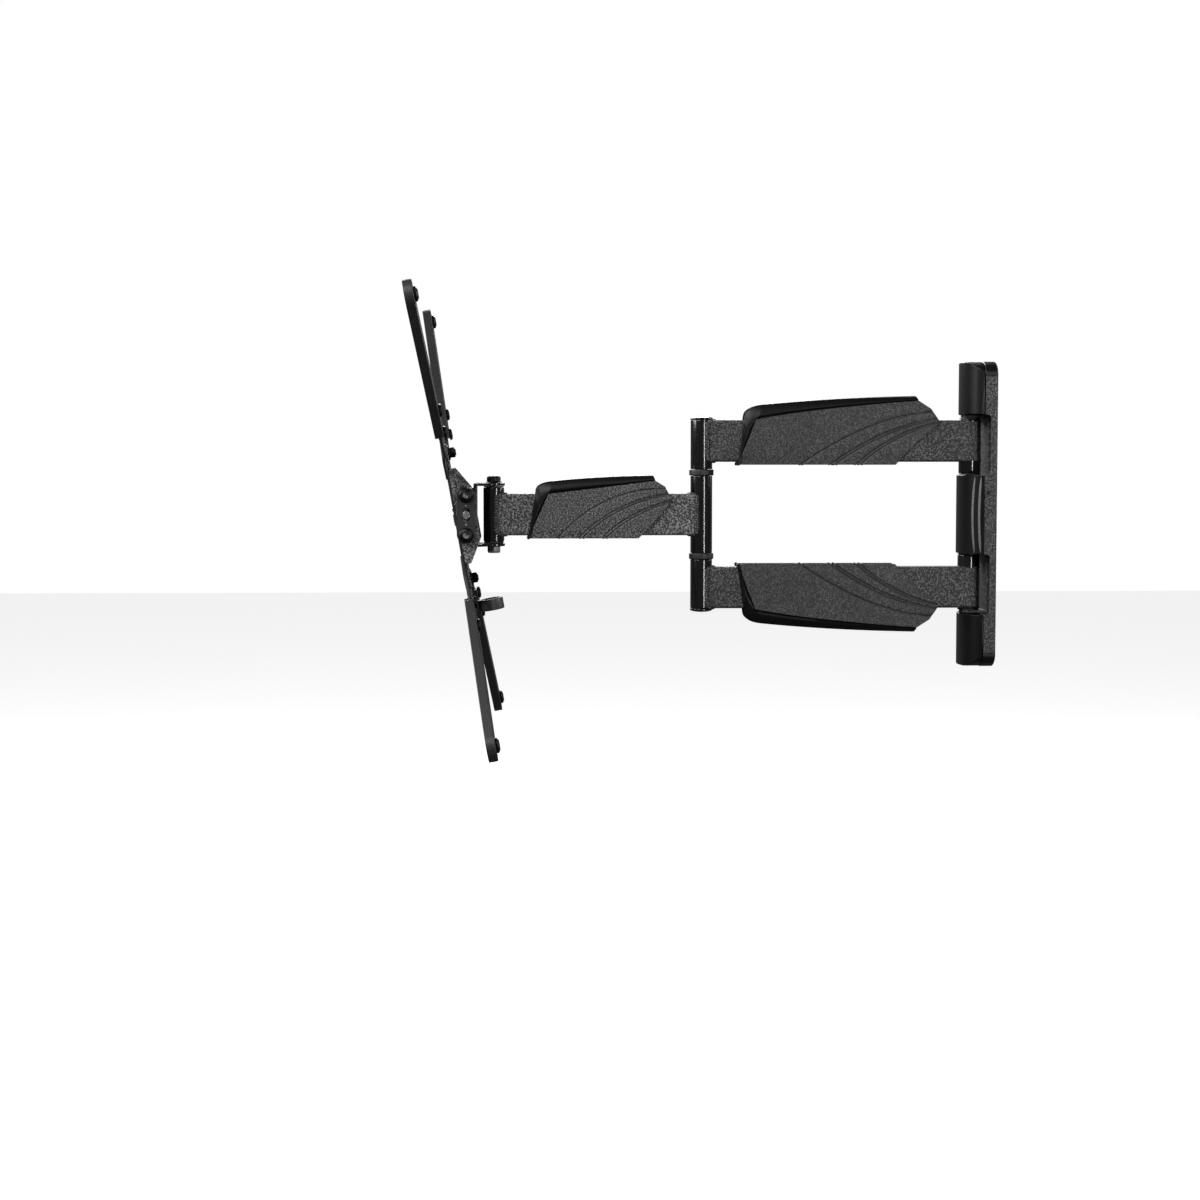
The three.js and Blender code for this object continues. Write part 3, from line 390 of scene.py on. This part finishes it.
# ---------------------------------------------------------------- elbow
# One hollow post: the rear arms' two enamelled sleeves and the front arm's sleeve between them, all on a
# steel spindle, with a nylon collar at each joint and a domed steel cap pressed on each end.
frame["nodes"]["elbow_spindle"].data.materials[0] = black_zinc
for level, up in (("upper", 1), ("lower", -1)):
    sleeve(f"{level}_elbow_post", f"{level}_elbow_sleeve", "rear_arms", gloss_enamel, 6.3 * mm)
    low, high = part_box(f"{level}_elbow_cap")
    seat = low[2] if up > 0 else high[2]
    radius, height = (high[0] - low[0]) / 2, high[2] - low[2]
    # The cap's rim is a short cylinder, and its top a quarter of an ellipse.
    dome = [(radius * np.cos(a), height * (0.36 + 0.64 * np.sin(a))) for a in np.linspace(0, np.pi / 2, 12)]
    cap = turned("cap", [(0, 0), (radius - 0.5 * mm, 0), (radius, 0.3 * mm), *dome[:-1], (0, height)],
                 (0, elbow_y, seat), (0, 0, up), 0.25 * mm)
    piece(f"{level}_post_cap", cap, "rear_arms", gloss_enamel, [f"{level}_elbow_cap"])
    low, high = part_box(f"{level}_elbow_collar")
    tip, top = (low[2], high[2]) if up > 0 else (high[2], low[2])
    radius, depth = (high[0] - low[0]) / 2, abs(top - tip)
    bore, spigot, ring = 6.3 * mm, 7.9 * mm, 5.9 * mm
    shoulder = radius - 0.5 * mm
    collar = turned("collar", [
        (bore, depth / 2), (bore, 0), (spigot, 0), (spigot, depth - ring), (shoulder, depth - ring),
        (radius, depth - ring + 0.7 * mm), (radius, depth - 0.7 * mm), (shoulder, depth),
        (bore, depth), (bore, depth / 2)], (0, elbow_y, tip), (0, 0, up), 0.4 * mm)
    piece(f"{level}_post_collar", collar, "front_arm", nylon, [f"{level}_elbow_collar"])
sleeve("middle_elbow_post", "front_elbow_sleeve", "front_arm", gloss_enamel, 8.2 * mm)

# ---------------------------------------------------------------- cable covers
# A shell of stippled ABS snapped over the back of each arm, which hides the television's cables. Its two
# broad sides are stippled panels with swept grooves; its back and far end are a smooth satin rim.

# ABS from a mould etched with a coarse stipple: dark grey, with a lighter point on each grain.
stippled_abs = finish("stippled_moulded_abs", "textured_cover", "#080808", "#424242", 1.3 * mm, (0.46, 0.64),
                      (0.58, 0.44), 0.07 * mm, lined=True)
# The same on the front arm's cover, with a coarser stipple, and painted lighter: a lit copy of the same ABS,
# as painted light for the light that falls more on that arm.
lit_stippled_abs = finish("lit_coarse_stippled_abs", "textured_cover", "#0c0c0c", "#6e6e6e", 1.4 * mm, (0.45, 0.64),
                   (0.58, 0.44), 0.09 * mm, lined=True)


def curve(start, via, end, count=60):
    """A quadratic curve: (1 - t)^2 start + 2 t (1 - t) via + t^2 end."""
    t = np.linspace(0, 1, count)[:, None]
    return (1 - t) ** 2 * np.array(start) + 2 * t * (1 - t) * np.array(via) + t**2 * np.array(end)


def paced(line, count):
    """The same line with its points evenly spaced."""
    run = np.concatenate([[0], np.cumsum(np.linalg.norm(np.diff(line, axis=0), axis=1))])
    at = np.linspace(0, run[-1], count)
    return np.stack([np.interp(at, run, line[:, i]) for i in (0, 1)], 1)


def patch(low, top, far, near):
    """A Coons patch between four edges: the blend of each pair of opposite edges, less the blend of the
    four corners. Rows run along the low and top edges, and columns from the low edge to the top one."""
    a = np.linspace(0, 1, len(low))[:, None, None]
    b = np.linspace(0, 1, len(far))[None, :, None]
    between = (1 - a) * far[None] + a * near[None] + (1 - b) * low[:, None] + b * top[:, None]
    corners = (1 - a) * (1 - b) * low[0] + a * (1 - b) * low[-1] + (1 - a) * b * top[0] + a * b * top[-1]
    return between - corners


def cable_cover(name, node, body, material, axis_y, up, edges, grooves):
    """A cover over an arm, in mm: points are distances from the arm's wall-side pivot and heights from the
    middle of its tube. The half width is that of the node on the panels; across the rim it falls as the
    way out to the power 2.2, after a fine groove; and each panel groove is a dip of depth x cos^2, shaded
    by exp(-(gap / line)^2), where gap is the distance to its middle and line the width of the shade."""
    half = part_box(node)[1][0] / mm
    rows, columns = 230, 76
    groove_depth, groove_width, line_width, border_depth = 0.75, 2.6, 0.8, 0.7
    back_half_width, tube_half_width, crown = 7.6, 11.5, 0.5
    foot, corner, heel, brow = edges["foot"], edges["corner"], edges["heel"], edges["brow"]
    far = paced(curve(foot, np.add(foot, corner) / 2, corner), columns)
    top = paced(curve(corner, edges["top"], edges["end"]), rows)
    heel_curve = curve(heel, edges["belly"], edges["tip"])
    near = paced(np.vstack([heel_curve, [edges["slant"]], [edges["end"]]]), columns)
    low = paced(np.array([foot, heel], float), rows)
    panel = patch(low, top, far, near)
    depth = np.zeros(panel.shape[:2])
    shade = np.zeros(panel.shape[:2])
    for start, via, end in grooves:
        line = curve(start, via, end, 260)
        gap = np.sqrt(((panel[:, :, None] - line[None, None]) ** 2).sum(-1).min(-1))
        dip = np.cos(np.pi * np.minimum(gap / groove_width, 0.5)) ** 2
        depth = np.maximum(depth, groove_depth * dip)
        shade = np.maximum(shade, np.exp(-((gap / line_width) ** 2)))
    panel_width = half - depth - border_depth * np.exp(-np.linspace(0, 9, columns)[None] ** 2 / 2)

    # The rim: from the panel's far and top edges out to the cover's outline.
    inner = np.vstack([panel[0], panel[1:, -1]])
    bend = (edges["shoulder"][0], edges["crown"][1] - 1)
    outline_far = paced(np.vstack([[foot], curve(edges["shoulder"], bend, edges["crown"])]), columns)
    outline_top = paced(curve(edges["crown"], edges["arch"], brow), rows)
    outer = np.vstack([outline_far, outline_top[1:]])
    way = np.array([0, 0.05, 0.1, 0.16, 0.22, 0.34, 0.47, 0.6, 0.72, 0.83, 0.92, 1.0])[None, :, None]
    rim = inner[:, None] * (1 - way) + outer[:, None] * way
    open_end = np.clip((25 - outer[:, 1]) / 12, 0, 1)[:, None]  # 1 beside the tube, 0 along the back
    narrow = back_half_width + (tube_half_width - back_half_width) * open_end
    share = way[..., 0]
    step = half - 0.3
    groove = 1.3 * np.exp(-(((share - 0.1) / 0.07) ** 2))
    rim_width = step - (step - narrow) * share**2.2 - groove
    rim_width[:, 0] = half
    rim_shade = np.exp(-(((share - 0.12) / 0.1) ** 2)) + 0 * rim_width

    # The back runs over from one outline to the other, a little crowned across and along.
    across = np.linspace(1, -1, 9)[None]
    back = np.repeat(outline_top[:, None], 9, 1)
    back_width = back_half_width * across + 0 * back[..., 0]
    back[..., 1] += crown * (1 - across**2)

    def half_skin(points, width, side):
        grid = np.stack([side * width, axis_y / mm - points[..., 0], up * points[..., 1] + height], -1)
        return grid if side * up > 0 else grid[::-1]

    height = middle(node.replace("cover", "tube"))[2] / mm
    work = bmesh.new()
    parts = [(back, back_width, 0 * back_width, 1, 1)]
    for side in (1, -1):
        parts.append((panel, panel_width, shade, side, 0))
        parts.append((rim[::-1], rim_width[::-1], rim_shade[::-1], side, 1))
    for points, width, dark, side, smooth in parts:
        part = skin(name, half_skin(points, width, side) * mm)
        dark = dark if side * up > 0 else dark[::-1]
        part.attributes.new("line", "FLOAT", "POINT").data.foreach_set("value", dark.ravel())
        part.polygons.foreach_set("material_index", np.full(len(part.polygons), smooth))
        work.from_mesh(part)
    mesh = bpy.data.meshes.new(name)
    work.to_mesh(mesh)
    work.free()
    made = piece(name, mesh, body, material, [node], sharp=50)
    mesh.materials.append(satin_abs)
    # The panel faces +X on its near side, so the shell is the right way out if those faces do.
    normals = np.array([face.normal[0] * np.sign(face.center[0]) * face.area for face in mesh.polygons])
    if normals.sum() < 0:
        mesh.flip_normals()
    wall = made.modifiers.new("wall", "SOLIDIFY")
    wall.thickness, wall.offset = 1.5 * mm, -1
    wall.use_rim = True
    return made


rear_edges = {
    "foot": (225.6, -22.8), "corner": (208.5, 20.5), "top": (160, 30.5), "end": (51.9, 38.6),
    "heel": (73.6, -22.8), "belly": (53, 2), "tip": (30.5, 17.5), "slant": (40, 31), "brow": (54, 43),
    "shoulder": (219.5, 23), "crown": (199, 35), "arch": (133, 41.5),
}
rear_grooves = [
    ((38, 27.5), (94, 26.2), (166, -23)),
    ((31, 20.4), (81.6, 13.5), (133, -23)), ((30, 21.6), (83, 16.5), (137, -23)),
    ((30, 17.2), (74.4, 7.8), (108, -23)), ((29, 18.2), (76.4, 10.4), (111.5, -23)),
]
for level, up in (("upper", 1), ("lower", -1)):
    cable_cover(f"{level}_cable_cover", f"{level}_rear_cover", "rear_arms", stippled_abs, wall_y, up,
                rear_edges, rear_grooves)

front_edges = {
    "foot": (167, -22.8), "corner": (147.5, 20), "top": (100, 25.3), "end": (45, 32.5),
    "heel": (61, -22.8), "belly": (43, -4), "tip": (28.8, 14), "slant": (36, 27), "brow": (47, 37.6),
    "shoulder": (160, 22), "crown": (143, 32), "arch": (110, 36),
}
front_grooves = [
    ((35, 25), (98.6, 24.5), (139, -23)),
    ((29, 19), (81, 11.9), (115.5, -23)), ((29, 20.4), (83, 14.4), (119, -23)),
    ((28.5, 12.6), (70, 0), (93, -23)), ((28.5, 14), (72.5, 2.4), (96.5, -23)),
]
# The front cover wears the lit copy of the stippled ABS: painted light.
cable_cover("front_cable_cover", "front_cover", "front_arm", lit_stippled_abs, elbow_y, 1,
            front_edges, front_grooves)

# ---------------------------------------------------------------- front arm
# One shorter arm of the same steel tube, coped and welded to the elbow's middle post at one end and to
# the sleeve of the head at the other. A flanged nylon bushing is pressed into each end of that sleeve.

# The same powder coat, painted paler with a coarser sand: a lit copy of it, as painted light on the front arm
# and the tilt bracket, where more light falls.
lit_sand_coat = finish("lit_sand_powder_coat", "powder_coat", "#0c0c0c", "#7e7e7e", 1.6 * mm, (0.45, 0.64),
                   (0.62, 0.44), 0.13 * mm)
coped_tube("front_arm_tube", "front_tube", "front_arm", lit_sand_coat, (elbow_y, 10.8 * mm),
           (head_y, 10.3 * mm))
weld_bead("front_elbow_weld", "front_arm", elbow_y, 10.5 * mm, -1, 0)
weld_bead("head_weld", "front_arm", head_y, 10.02 * mm, 1, 0)
sleeve("head_pivot_sleeve", "head_sleeve", "front_arm", gloss_enamel, 7.5 * mm)
for level, up in (("upper", 1), ("lower", -1)):
    flanged_bushing(f"{level}_head_flange_bushing", f"{level}_head_bushing", "front_arm", -up,
                    (4.3, 7.2, 9.6, 1.3))

# ---------------------------------------------------------------- swivel head
# A clevis bent from 2.8 mm steel holds the front arm's sleeve on one long bolt, with a pressed flange
# head above and a bright self-locking nut below. Its two cheeks carry the tilt joint.

# Bright zinc plate: pale bluish metal, its crystals seen as a faint mottle.
bright_zinc = finish("bright_zinc_plate", "bright_zinc", "#9b9ea2", "#c9ccd0", 1.1 * mm, (0.3, 0.7),
                     (0.24, 0.38), 0.008 * mm, metallic=1.0, drift=0.08)
eased("head_clevis", "swivel_head", gloss_enamel, 0.7 * mm)
low, high = (np.array(corner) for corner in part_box("swivel_bolt"))
length = high[2] - low[2]
head_height = 6.6 * mm
under_head = length - head_height
bolt = turned("swivel_bolt", [
    (0, 0), (3.3 * mm, 0), (4 * mm, 0.9 * mm), (4 * mm, under_head), (8 * mm, under_head),
    (8 * mm, under_head + 0.9 * mm), (6.7 * mm, under_head + 1.5 * mm),
    (6.7 * mm, length - 1.8 * mm), (5.2 * mm, length - 0.3 * mm), (3.1 * mm, length, 0),
    (3.1 * mm, length, 1), (3.1 * mm, length - 2.6 * mm, 1), (0, length - 2.6 * mm)],
    (0, head_y, low[2]), edge=0.3 * mm)
piece("swivel_flange_bolt", bolt, "swivel_head", black_zinc, ["swivel_bolt"])
low, high = (np.array(corner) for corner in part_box("swivel_nut"))
tall = high[2] - low[2]
nut = turned("swivel_nut", [
    (4.3 * mm, tall / 2), (4.3 * mm, 0), (7.1 * mm, 0, 1), (7.1 * mm, 0.66 * tall, 1),
    (6.1 * mm, 0.74 * tall), (5.6 * mm, 0.98 * tall), (4.3 * mm, tall), (4.3 * mm, tall / 2)],
    (0, head_y, high[2]), (0, 0, -1), 0.3 * mm)
piece("swivel_lock_nut", nut, "swivel_head", bright_zinc, ["swivel_nut"])

# ---------------------------------------------------------------- tilt joint
# On each side two socket button head bolts clamp a moulded bar against the bracket's ear and the cheek
# behind it, and a bright rivet through the middle is the axis. Loosening the bolts frees the tilt.
tilt_y = middle("tilt_rivet")[1]
mark_height = 8.855 * mm

# Black zinc steel painted grey and half bright inside the socket: a painted highlight in its recess.
socket_highlight_steel = finish("painted_highlight_socket_steel", "black_zinc", "#343436", "#7d7d80", 0.9 * mm, (0.35, 0.65),
                      (0.30, 0.50), 0.02 * mm, metallic=1.0)


def slotted_bar(node, side):
    """A bar with round ends about a slot with round ends. At an angle a both outlines are at r cos a
    across and r sin a + w sign(sin a) along, where r is the radius of the end and w half the straight
    side, and the section runs out of the slot, over the face and down the outside."""
    low, high = (np.array(corner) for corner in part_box(node))
    radius, thick = (high[1] - low[1]) / 2, high[0] - low[0]
    straight = (high[2] - low[2]) / 2 - radius
    slot, slot_straight, land = 4 * mm, 2.5 * mm, 1 * mm
    corners = [(slot + land, 0, slot_straight), (slot, 0, slot_straight), (slot, thick, slot_straight),
               (slot + land, thick, slot_straight), (radius - land, thick, straight),
               (radius, thick, straight), (radius, 0, straight), (radius - land, 0, straight),
               (slot + land, 0, slot_straight)]
    r, h, w = rounded(corners, 0.8 * mm).T[..., None]
    # Half steps, so that no point lies at 0 or 180 degrees, where the sign is 0.
    steps = 64
    a = (np.arange(steps)[None] + 0.5) * 2 * np.pi / steps
    x = side * (np.minimum(abs(low[0]), abs(high[0])) + h) + 0 * a
    y = (low[1] + high[1]) / 2 + r * np.cos(a)
    z = (low[2] + high[2]) / 2 + r * np.sin(a) + w * np.sign(np.sin(a))
    return skin(node, np.stack([x, y, z], -1), columns_meet=True)


for letter, side in (("right", 1), ("left", -1)):
    node = f"{letter}_tilt_bar"
    piece(f"{letter}_slotted_bar", slotted_bar(node, side), "swivel_head", nylon, [node])
    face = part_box(node)[1 if side > 0 else 0][0]
    for level, up in (("upper", 1), ("lower", -1)):
        # A small bright pin in line with the slot.
        mark = turned("mark", [(0, -0.5 * mm), (0.8 * mm, -0.5 * mm), (0.75 * mm, 0.2 * mm), (0, 0.35 * mm)],
                      (face, tilt_y, up * mark_height), (side, 0, 0), 0.1 * mm, 16)
        piece(f"{letter}_bar_mark_{level}", mark, "swivel_head", bright_zinc)
    for level in ("upper", "lower"):
        node = f"{level}_{letter}_tilt_bolt"
        centre = middle(node)
        low, high = (np.array(corner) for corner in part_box(node))
        inner, outer = sorted((abs(low[0]), abs(high[0])))
        radius, head_height, edge_height = (high[2] - low[2]) / 2, 4 * mm, 0.8 * mm
        seat = outer - head_height
        dome = [(radius * np.cos(a) ** 0.8, seat + edge_height + (head_height - edge_height) * np.sin(a))
                for a in np.linspace(0, np.radians(62), 8)]
        rim = dome[-1][1]
        head = turned("tilt_bolt", [
            (0, inner), (2.5 * mm, inner), (2.5 * mm, seat), (radius, seat), *dome,
            (3.3 * mm, rim + 0.12 * mm), (3.05 * mm, rim), (3.0 * mm, seat + 1.2 * mm),
            (0, seat + 1.2 * mm)], centre * (0, 1, 1), (side, 0, 0), 0.15 * mm)
        piece(f"{level}_{letter}_button_bolt", head, "swivel_head", black_zinc, [node])
        # The socket's recess carries a painted highlight.
        cup = turned("socket", [
            (3.0 * mm, rim - 0.35 * mm), (2.95 * mm, rim - 0.1 * mm), (2.6 * mm, rim - 0.3 * mm, 1),
            (2.55 * mm, seat + 1.5 * mm, 1), (0, seat + 1.3 * mm), (0, seat + 0.9 * mm),
            (3.0 * mm, seat + 0.9 * mm), (3.0 * mm, rim - 0.35 * mm)],
            centre * (0, 1, 1), (side, 0, 0), 0.1 * mm)
        piece(f"{level}_{letter}_bolt_socket", cup, "swivel_head", socket_highlight_steel)
eased("tilt_rivet", "swivel_head", bright_zinc, 0.35 * mm)

# ---------------------------------------------------------------- tilt bracket
# One pressing of 2 mm steel: a face with two ears, slotted for the tilt bolts, and a long tongue up and
# down it whose two short slots let the plate for the television be turned level.
# The bracket wears the paler lit copy of the powder coat: painted light.
eased("tilt_bracket", "tilt_bracket", lit_sand_coat, 0.4 * mm)
eased("level_rivet", "tilt_bracket", bright_zinc, 0.3 * mm)

# ---------------------------------------------------------------- television plate
# A spider plate of 2.2 mm steel on the tongue, held by two studs with flange nuts. Four channel arms are
# bolted to its diagonal fingers by two screws and nuts each, and carry the television's own screws.

# A thinner powder coat over these pressings: nearly black, with only a faint sand.
dark_coat = finish("fine_powder_coat", "powder_coat", "#070707", "#242424", 1.4 * mm, (0.42, 0.68),
                   (0.54, 0.44), 0.025 * mm)
eased("centre_plate", "tv_plate", dark_coat, 0.5 * mm)
outwards = np.array(next(joint["axis"] for joint in frame["joints"] if joint["name"] == "level"))
sideways = np.array([1.0, 0, 0])
upwards = np.cross(outwards, sideways)
tilt_axis = middle("tilt_rivet")
level_bolt_height, tongue_back, finger_back, channel_floor = 61, 6.9, 5.2, 9.9
finger_bolts = ((113, "inner"), (141.4, "outer"))  # along the diagonal


def on_plate(x, out, z):
    """A point given in mm from the tilt axis: across, out towards the television, and up along the plate."""
    return tilt_axis + mm * (x * sideways + out * outwards + z * upwards)


for level, up in (("upper", 1), ("lower", -1)):
    nut = turned("level_nut", [
        (0, -4.8 * mm), (3 * mm, -4.8 * mm), (3 * mm, 0), (7 * mm, 0), (7 * mm, 0.8 * mm),
        (5.9 * mm, 1.3 * mm), (5.6 * mm, 1.35 * mm, 1), (5.6 * mm, 5.7 * mm, 1), (4.9 * mm, 6.3 * mm),
        (3.2 * mm, 6.3 * mm), (3 * mm, 7.3 * mm), (0, 7.3 * mm)],
        on_plate(0, tongue_back, level_bolt_height * up), -outwards, 0.2 * mm)
    piece(f"{level}_level_flange_nut", nut, "tv_plate", black_zinc, [f"{level}_level_bolt"])
for level, up in (("upper", 1), ("lower", -1)):
    for letter, side in (("right", 1), ("left", -1)):
        corner = f"{level}_{letter}"
        eased(f"{corner}_extension", "tv_plate", dark_coat, 0.6 * mm)
        eased(f"{corner}_spacer", "tv_plate", nylon, 0.4 * mm)
        eased(f"{corner}_tv_screw", "tv_plate", black_zinc, 0.3 * mm)
        for reach, number in finger_bolts:
            at = reach / np.sqrt(2)
            # A pan head screw on the wall side, and its nut and washer inside the channel.
            screw = turned("finger_screw", [
                (0, -7.2 * mm), (2.9 * mm, -7.2 * mm), (2.9 * mm, 0), (6 * mm, 0), (6 * mm, 1.2 * mm),
                (5.2 * mm, 2.5 * mm), (2.6 * mm, 3.1 * mm), (2.4 * mm, 3.1 * mm, 1), (2.3 * mm, 1.4 * mm, 1),
                (0, 1.4 * mm)], on_plate(side * at, finger_back, up * at), -outwards, 0.2 * mm, 36)
            piece(f"{corner}_{number}_finger_screw", screw, "tv_plate", black_zinc)
            nut = turned("finger_nut", [
                (3 * mm, 1 * mm), (3 * mm, 0), (6.4 * mm, 0), (6.4 * mm, 0.8 * mm), (5.5 * mm, 1 * mm, 1),
                (5.5 * mm, 3.6 * mm, 1), (4.7 * mm, 4.1 * mm), (3 * mm, 4.1 * mm), (3 * mm, 1 * mm)],
                on_plate(side * at, channel_floor, up * at), outwards, 0.2 * mm, 36)
            piece(f"{corner}_{number}_finger_nut", nut, "tv_plate", black_zinc)

# ---------------------------------------------------------------- cable ring
# A moulded nylon loop on a foot that clips to the tab under the plate. It keeps the television's cables
# near the head as the mount turns. The sizes are in mm, as on_plate takes them.
ring_size = {"half_width": 17, "half_depth": 12, "wall": 2.6, "height": 11, "stand": 8, "z": -89}


def oval_loop():
    """At an angle a the wall of the loop is (half width - inset) cos a across and (half depth - inset)
    sin a out from the plate, and its section is the wall by the height with rounded edges."""
    wall, height = ring_size["wall"], ring_size["height"]
    corners = [(wall / 2, 0), (0, 0), (0, height), (wall, height), (wall, 0), (wall / 2, 0)]
    inset, h = rounded(corners, 0.8).T[..., None, None]
    a = np.linspace(0, 2 * np.pi, 96, endpoint=False)[None, :, None]
    centre = on_plate(0, -ring_size["stand"], ring_size["z"] - height / 2)
    return centre + mm * ((ring_size["half_width"] - inset) * np.cos(a) * sideways
                          + (ring_size["half_depth"] - inset) * np.sin(a) * outwards + h * upwards)


def clip_block(centre, half):
    """A block with soft edges: each half side times sign(w) |w|^(1/5), where w is the matching coordinate
    of a point on a sphere."""
    u = np.linspace(0, 2 * np.pi, 48, endpoint=False)[None]
    v = np.linspace(-np.pi / 2, np.pi / 2, 25)[:, None]
    x, y, z = (np.sign(w) * np.abs(w) ** 0.2 for w in (np.cos(u), np.sin(u), np.sin(v) + 0 * u))
    taper = np.abs(np.cos(v)) ** 0.2
    return centre + mm * sum(size * w[..., None] * way for size, w, way in zip(
        half, (x * taper, y * taper, z), (sideways, outwards, upwards)))


piece("cable_loop", skin("loop", oval_loop(), columns_meet=True), "tv_plate", nylon, ["cable_ring"])
foot = clip_block(on_plate(0, 5.6, ring_size["z"]), (5, 3.6, 5.4))
piece("cable_loop_clip", skin("clip", foot, columns_meet=True), "tv_plate", nylon)

# ---------------------------------------------------------------- floor, light and camera
# A pale floor below the mount and a pale even surround, with one large soft light high on the camera's
# side, a narrow one that draws the line of light down the posts, and weaker ones on the other sides.
floor_height, reach = -0.62, 9
corners = [[(x, y, floor_height) for y in (-reach, reach)] for x in (-reach, reach)]
floor = bpy.data.objects.new("floor", skin("floor", np.array(corners, float)))
bpy.context.scene.collection.objects.link(floor)
# Matte white paint, lit evenly from within so that it stays pale, and kept out of the mount's reflections.
pale = bpy.data.materials.new("matte_white_paint")
pale.use_nodes = True
paint = pale.node_tree.nodes["Principled BSDF"]
paint.inputs["Base Color"].default_value = linear("#d8d8d8")
paint.inputs["Roughness"].default_value = 0.9
paint.inputs["Emission Color"].default_value = (1, 1, 1, 1)
paint.inputs["Emission Strength"].default_value = 0.78
floor.data.materials.append(pale)
floor.visible_glossy = floor.visible_diffuse = False

world = bpy.data.worlds.new("surround")
bpy.context.scene.world = world
world.use_nodes = True
background = world.node_tree.nodes["Background"]
background.inputs["Color"].default_value = (1, 1, 1, 1)
# The surround is white to look at, and lights the mount with an eighth of that.
seen = add(world, "LightPath", {}).outputs["Is Camera Ray"]
share = add(world, "MapRange", {"Value": seen, "To Min": 0.13, "To Max": 1.0})
world.node_tree.links.new(share.outputs[0], background.inputs["Strength"])
bpy.context.scene.view_settings.view_transform = "Standard"


def soft_light(name, place, target, width, height, power):
    """A rectangular area light at a place, aimed at a target point."""
    data = bpy.data.lights.new(name, "AREA")
    data.shape, data.size, data.size_y, data.energy = "RECTANGLE", width, height, power
    lamp = bpy.data.objects.new(name, data)
    lamp.location = place
    lamp.rotation_euler = (Vector(target) - Vector(place)).to_track_quat("-Z", "Y").to_euler()
    bpy.context.scene.collection.objects.link(lamp)


soft_light("key", (1.8, -1.6, 1.6), (0, -0.4, 0), 1.4, 1.0, 58)
soft_light("strip", (1.75, 0.62, 0.1), (0, -0.3, 0), 0.09, 1.8, 19)
soft_light("front_fill", (0.2, -2.8, 1.1), (0, -0.3, 0), 1.8, 1.2, 80)
soft_light("far_fill", (-2.2, -0.6, 1.3), (0, -0.3, 0), 1.6, 1.2, 80)
soft_light("wall_fill", (-0.3, 2.4, 0.9), (0, -0.1, 0), 1.5, 1.0, 60)

camera = bpy.data.objects.new("camera", bpy.data.cameras.new("camera"))
bpy.context.scene.collection.objects.link(camera)
bpy.context.scene.camera = camera
camera.data.sensor_width, camera.data.lens = 36, 66.8
camera.location = (2.1456, -0.4531, 0.0550)
yaw, pitch = np.radians(2.01), np.radians(-3.67)
heading = Vector((-np.cos(yaw) * np.cos(pitch), np.sin(yaw) * np.cos(pitch), np.sin(pitch)))
camera.rotation_euler = heading.to_track_quat("-Z", "Y").to_euler()
